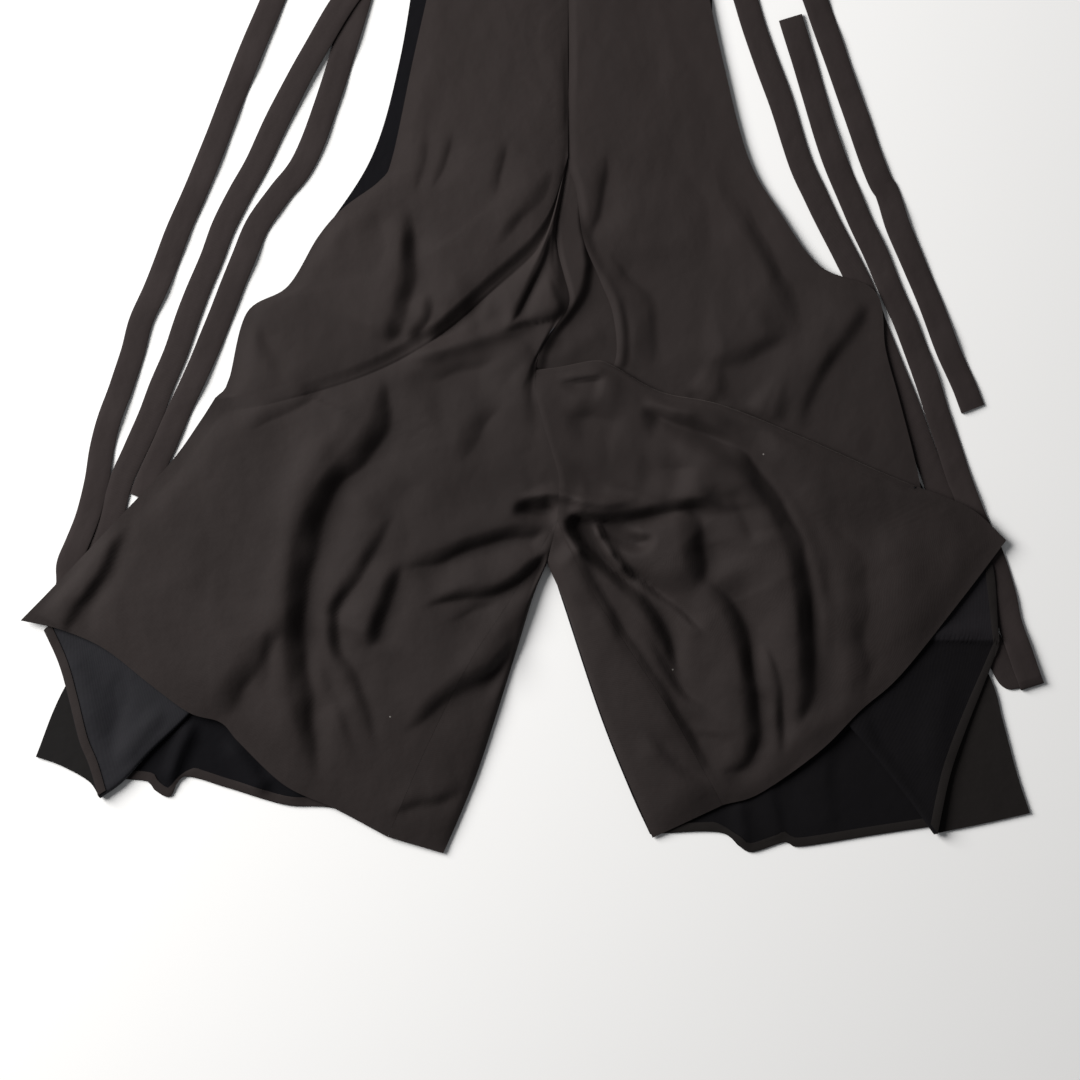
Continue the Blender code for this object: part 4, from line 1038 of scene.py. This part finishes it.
def cloth_material(name, colour, sheen, sheen_tint, weave_size, mottle, painted_shade_to, painted_shade_over, gloss):
    """Woven cloth: a fine twill, slubs, slow shifts of shade and a little lint, with a painted shade that
    darkens it along y. Sizes are in metres.
    """
    material, shader = plain_material(name)
    tree = material.node_tree
    threads = node(tree, "ShaderNodeUVMap", {}, uv_map="threads")
    place = node(tree, "ShaderNodeTexCoord", {}).outputs["Object"]

    # Shade: broad patches and a fine fleck along the threads, times a painted shade that darkens the cloth
    # towards the hems.
    broad = node(tree, "ShaderNodeTexNoise", {"Vector": place, "Scale": 9, "Detail": 3})
    drawn_out = node(tree, "ShaderNodeMapping", {"Vector": threads, "Scale": (900, 160, 1)})
    fleck = node(tree, "ShaderNodeTexNoise", {"Vector": drawn_out, "Scale": 1, "Detail": 1})
    both = node(tree, "ShaderNodeMath", {0: fleck, 1: 0.45, 2: broad}, operation="MULTIPLY_ADD")
    shades = {"From Min": 0.45, "From Max": 1.0, "To Min": 1 - mottle, "To Max": 1 + mottle}
    shade = node(tree, "ShaderNodeMapRange", {"Value": both, **shades})
    height = node(tree, "ShaderNodeSeparateXYZ", {"Vector": place}).outputs["Y"]
    shares = {"From Min": painted_shade_over[0], "From Max": painted_shade_over[1], "To Min": painted_shade_to, "To Max": 1.0}
    painted_shade_ramp = node(tree, "ShaderNodeMapRange", {"Value": height, **shares}, interpolation_type="SMOOTHSTEP")
    mottle_and_painted_shade = node(tree, "ShaderNodeMath", {0: shade, 1: painted_shade_ramp}, operation="MULTIPLY")
    tone = node(tree, "ShaderNodeVectorMath", {0: colour, "Scale": mottle_and_painted_shade}, operation="SCALE")

    # Lint: a few pale specks.
    lint = node(tree, "ShaderNodeTexVoronoi", {"Vector": place, "Scale": 16})
    speck = node(tree, "ShaderNodeMath", {0: lint, 1: LINT_SIZE}, operation="LESS_THAN")
    mixed = node(tree, "ShaderNodeMix", {"Factor": speck, "A": tone, "B": LINT_COLOUR}, data_type="RGBA")

    # Relief: the twill's diagonal ribs, and the unevenness of hand-woven cloth.
    ribs = {"Vector": threads, "Scale": 1 / weave_size / math.tau * 1.8, "Distortion": 1.2, "Detail": 0}
    rib = node(tree, "ShaderNodeTexWave", ribs, wave_type="BANDS", bands_direction="DIAGONAL")
    cockle = node(tree, "ShaderNodeTexNoise", {"Vector": place, "Scale": 55, "Detail": 2})
    fine = {"Height": rib.outputs["Fac"], "Strength": 0.25, "Distance": 0.0002}
    coarse = {"Height": cockle, "Strength": 0.5, "Distance": 0.0016}
    looks = {
        "Base Color": mixed,
        "Normal": node(tree, "ShaderNodeBump", {**coarse, "Normal": node(tree, "ShaderNodeBump", fine)}),
        "Roughness": 0.82,
        "Specular IOR Level": gloss,
        "Sheen Weight": sheen,
        "Sheen Roughness": 0.45,
        "Sheen Tint": (*sheen_tint, 1),
    }
    feed(shader, looks)
    return material


LINT_SIZE, LINT_COLOUR = 0.016, (0.16, 0.15, 0.14, 1)
TWILL, TAPE = 0.0011, 0.0009  # the weaves
REDDISH, WARM, COOL, GREY = (1.0, 0.85, 0.8), (1.0, 0.9, 0.86), (0.8, 0.88, 1.0), (0.9, 0.92, 1.0)  # sheens
DOWN_LEG = (-0.05, 0.22)  # where a painted shade darkens the cloth towards the hems, along y
CROSS_SEAM = (-0.291, -0.287)  # the seam across the right return, below which its cloth is painted darker: painted shade
# Rows (name, colour, sheen, its tint, weave, mottle, share of the colour that the painted shade keeps
# towards the hems, where that changes, gloss).
# Rows two, four, five and six are darker copies of the outer and inner cloth: painted shade for faces that
# lie in shadow or turn away from the light.
CLOTHS = [
    ("outer_twill", (0.0198, 0.0147, 0.0139), 0.04, REDDISH, TWILL, 0.1, 0.84, DOWN_LEG, 0.2),
    ("shaded_outer_twill", (0.0066, 0.0058, 0.0057), 0.03, WARM, TWILL, 0.1, 0.84, DOWN_LEG, 0.18),
    ("inner_twill", (0.0118, 0.0116, 0.0145), 0.05, COOL, TWILL, 0.1, 0.84, DOWN_LEG, 0.2),
    ("low_inner_twill", (0.0054, 0.0052, 0.0064), 0.01, COOL, TWILL, 0.1, 0.84, DOWN_LEG, 0.05),
    ("shaded_inner_twill", (0.0126, 0.0115, 0.0132), 0.004, GREY, TWILL, 0.1, 0.42, CROSS_SEAM, 0.05),
    ("hem_twill", (0.0122, 0.0102, 0.0096), 0.02, WARM, TWILL, 0.1, 0.84, DOWN_LEG, 0.12),
    ("tie_cloth", (0.0215, 0.0158, 0.0153), 0.04, REDDISH, TAPE, 0.08, 0.96, DOWN_LEG, 0.2),
]


# ---------------------------------------------------------------- studio, in metres

ROOM_COLOUR, ROOM_LIGHT = (0.95, 0.97, 1.0, 1), 0.15
KEY_PLACE, KEY_AIM = (-3.1, 1.38, 2.3), (0.05, -0.1, 0)
KEY_SIZE, KEY_POWER, KEY_COLOUR = 2.9, 338, (1.0, 0.985, 0.97)
FLOOR_HALF, FLOOR_Z, FLOOR_COLOUR = 30, -0.0004, (0.86, 0.86, 0.855, 1)
VIEW_WIDTH = 1.188  # of the picture at the garment
CAMERA = (0.0064, -0.1791, 4.0)
SENSOR = 36  # width in millimetres


def put(name, data, place):
    obj = bpy.data.objects.new(name, data)
    obj.location = place
    bpy.context.scene.collection.objects.link(obj)
    return obj


def studio():
    """A pale floor, one large soft light from the upper left, and the camera straight above."""
    scene = bpy.context.scene
    scene.view_settings.view_transform = "Standard"
    scene.view_settings.look = "None"
    scene.world = bpy.data.worlds.new("room")
    scene.world.use_nodes = True
    background = scene.world.node_tree.nodes["Background"]
    feed(background, {"Color": ROOM_COLOUR, "Strength": ROOM_LIGHT})

    light = bpy.data.lights.new("key", "AREA")
    light.shape = "DISK"
    light.size = KEY_SIZE
    light.energy = KEY_POWER
    light.color = KEY_COLOUR
    towards = Vector([aim - place for aim, place in zip(KEY_AIM, KEY_PLACE)])
    put("key", light, KEY_PLACE).rotation_euler = towards.to_track_quat("-Z", "Y").to_euler()

    mesh = bpy.data.meshes.new("floor")
    corners = [(x * FLOOR_HALF, y * FLOOR_HALF, 0) for x, y in ((-1, -1), (1, -1), (1, 1), (-1, 1))]
    mesh.from_pydata(corners, [], [(0, 1, 2, 3)])
    paint, shader = plain_material("floor_paint")
    feed(shader, {"Base Color": FLOOR_COLOUR, "Roughness": 0.7})
    mesh.materials.append(paint)
    put("floor", mesh, (0, 0, FLOOR_Z))

    lens = bpy.data.cameras.new("camera")
    lens.sensor_width = SENSOR
    lens.lens = SENSOR * CAMERA[2] / VIEW_WIDTH
    scene.camera = put("camera", lens, CAMERA)


# ---------------------------------------------------------------- garment

RETURN_FROM = COLUMNS_TUCK + COLUMNS_TURN  # the column of a side panel at which its return starts
EDGE_SHOWS_BELOW = 60  # the y below which the right return's free edge shows

# Rows (name, upper face, cloth of the turned hem, lines, steps, rolls).
BACK_PANELS = [
    # The left panel's face is painted darker for the flap's shadow over it; the right panel's face and hem
    # are darker copies of the cloth too: painted shade.
    ("back_panel_left", "low_inner_twill", "outer_twill",
     LEFT_BACK_INNER, LEFT_BACK_SIDE, LEFT_BACK_HEM, [], LEFT_BACK_ROLLS),
    ("back_panel_right", "shaded_inner_twill", "hem_twill",
     RIGHT_BACK_INNER, RIGHT_BACK_SIDE, RIGHT_BACK_HEM, RIGHT_BACK_STEPS, RIGHT_BACK_ROLLS),
]
# Rows (name, outer face, inner face, cloth of the turned hem, lines, steps, rolls).
SIDE_PANELS = [
    # The left panel's outer face, and the right panel's faces and hems, are darker copies of the cloth:
    # painted shade.
    ("side_panel_left", "shaded_outer_twill", "inner_twill", "outer_twill",
     LEFT_TUCK_EDGE, LEFT_FOLD, LEFT_RETURN_EDGE, LEFT_TUCK_HEM, LEFT_RETURN_HEM, [], LEFT_RETURN_ROLLS),
    ("side_panel_right", "hem_twill", "shaded_inner_twill", "hem_twill",
     RIGHT_TUCK_EDGE, RIGHT_FOLD, RIGHT_RETURN_EDGE, RIGHT_TUCK_HEM, RIGHT_RETURN_HEM,
     RIGHT_RETURN_STEPS, RIGHT_RETURN_ROLLS),
]


def attach(obj):
    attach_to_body(obj, "root")
    return obj


def turned_hem(name, outer, side, cloth):
    return attach(shell(name, edge_strip(outer, side), cloth, thickness=HEM_THICKNESS))


def declare(obj, replaced):
    """Attaches the piece to the garment's root body and hides the solid that it replaces."""
    attach(obj)
    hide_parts(replaced)


def backs(seams, cloth):
    for name, face, hem_cloth, *form in BACK_PANELS:
        outer = back_panel(seams, *form)
        hem = turned_hem(f"{name}_hem", outer, "bottom", cloth[hem_cloth])
        obj = shell(f"{name}_cloth", outer, cloth[face], cloth["outer_twill"])
        declare(obj, name)


def sides(cloth):
    """The side panels. A return shows the cloth's inner face, and its hem is turned up onto that."""
    for name, outer_face, inner_face, hem_cloth, *form in SIDE_PANELS:
        outer = side_panel(*form)
        back = moved_in(outer, CLOTH)[0][:, RETURN_FROM:]
        hems = [turned_hem(f"{name}_hem", back, "bottom", cloth[hem_cloth])]
        obj = shell(f"{name}_cloth", outer, cloth[outer_face], cloth[inner_face])
        if name == "side_panel_right":
            # Its free edge shows below the flap, turned in like the hem.
            shown = back[back[:, -1, 1] < EDGE_SHOWS_BELOW]
            hems.append(turned_hem(f"{name}_edge", shown, "right", cloth[hem_cloth]))
        declare(obj, name)


def fronts(seams, cloth):
    left, right = ["back_panel_left_cloth"], ["back_panel_right_cloth"]
    pieces = [
        ("front_panel_left", front_panel_left(seams), left),
        ("front_panel_right", front_panel_right(seams), right),
        ("gusset_left", gusset(seams["left"], LEFT_INSEAM, LEFT_STEPS, LEFT_ROLLS, LEFT_SEED), left),
        (
            "gusset_right",
            gusset(seams["right"], RIGHT_INSEAM, RIGHT_LEG_STEPS, RIGHT_LEG_ROLLS, RIGHT_SEED),
            right,
        ),
        ("centre_pleat", centre_pleat(seams), right),
    ]
    for name, outer, rests_on in pieces:
        obj = shell(f"{name}_cloth", outer, cloth["outer_twill"], cloth["inner_twill"])
        declare(obj, name)


def ties(cloth):
    pieces = [
        ("front_tie_left", *doubled_tie(LEFT_TIE_DOWN, LEFT_TIE_UP, LEFT_FOLD_OVER)),
        ("front_tie_right", *doubled_tie(RIGHT_TIE_DOWN, RIGHT_TIE_UP, RIGHT_FOLD_OVER)),
        ("back_tie_left", strap(off_grid(BACK_TIE_LEFT), ROWS_TIE), TIE_THICKNESS),
        ("back_tie_right", strap(off_grid(BACK_TIE_RIGHT), ROWS_TIE), TIE_THICKNESS),
        *((name, waistband(*place), TIE_THICKNESS) for name, *place in WAISTBANDS),
    ]
    for name, outer, thickness in pieces:
        obj = shell(f"{name}_cloth", outer, cloth["tie_cloth"], thickness=thickness)
        declare(obj, name)


def main():
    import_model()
    cloth = {row[0]: cloth_material(*row) for row in CLOTHS}
    seams = shared_seams()
    backs(seams, cloth)
    sides(cloth)
    fronts(seams, cloth)
    ties(cloth)
    studio()


main()
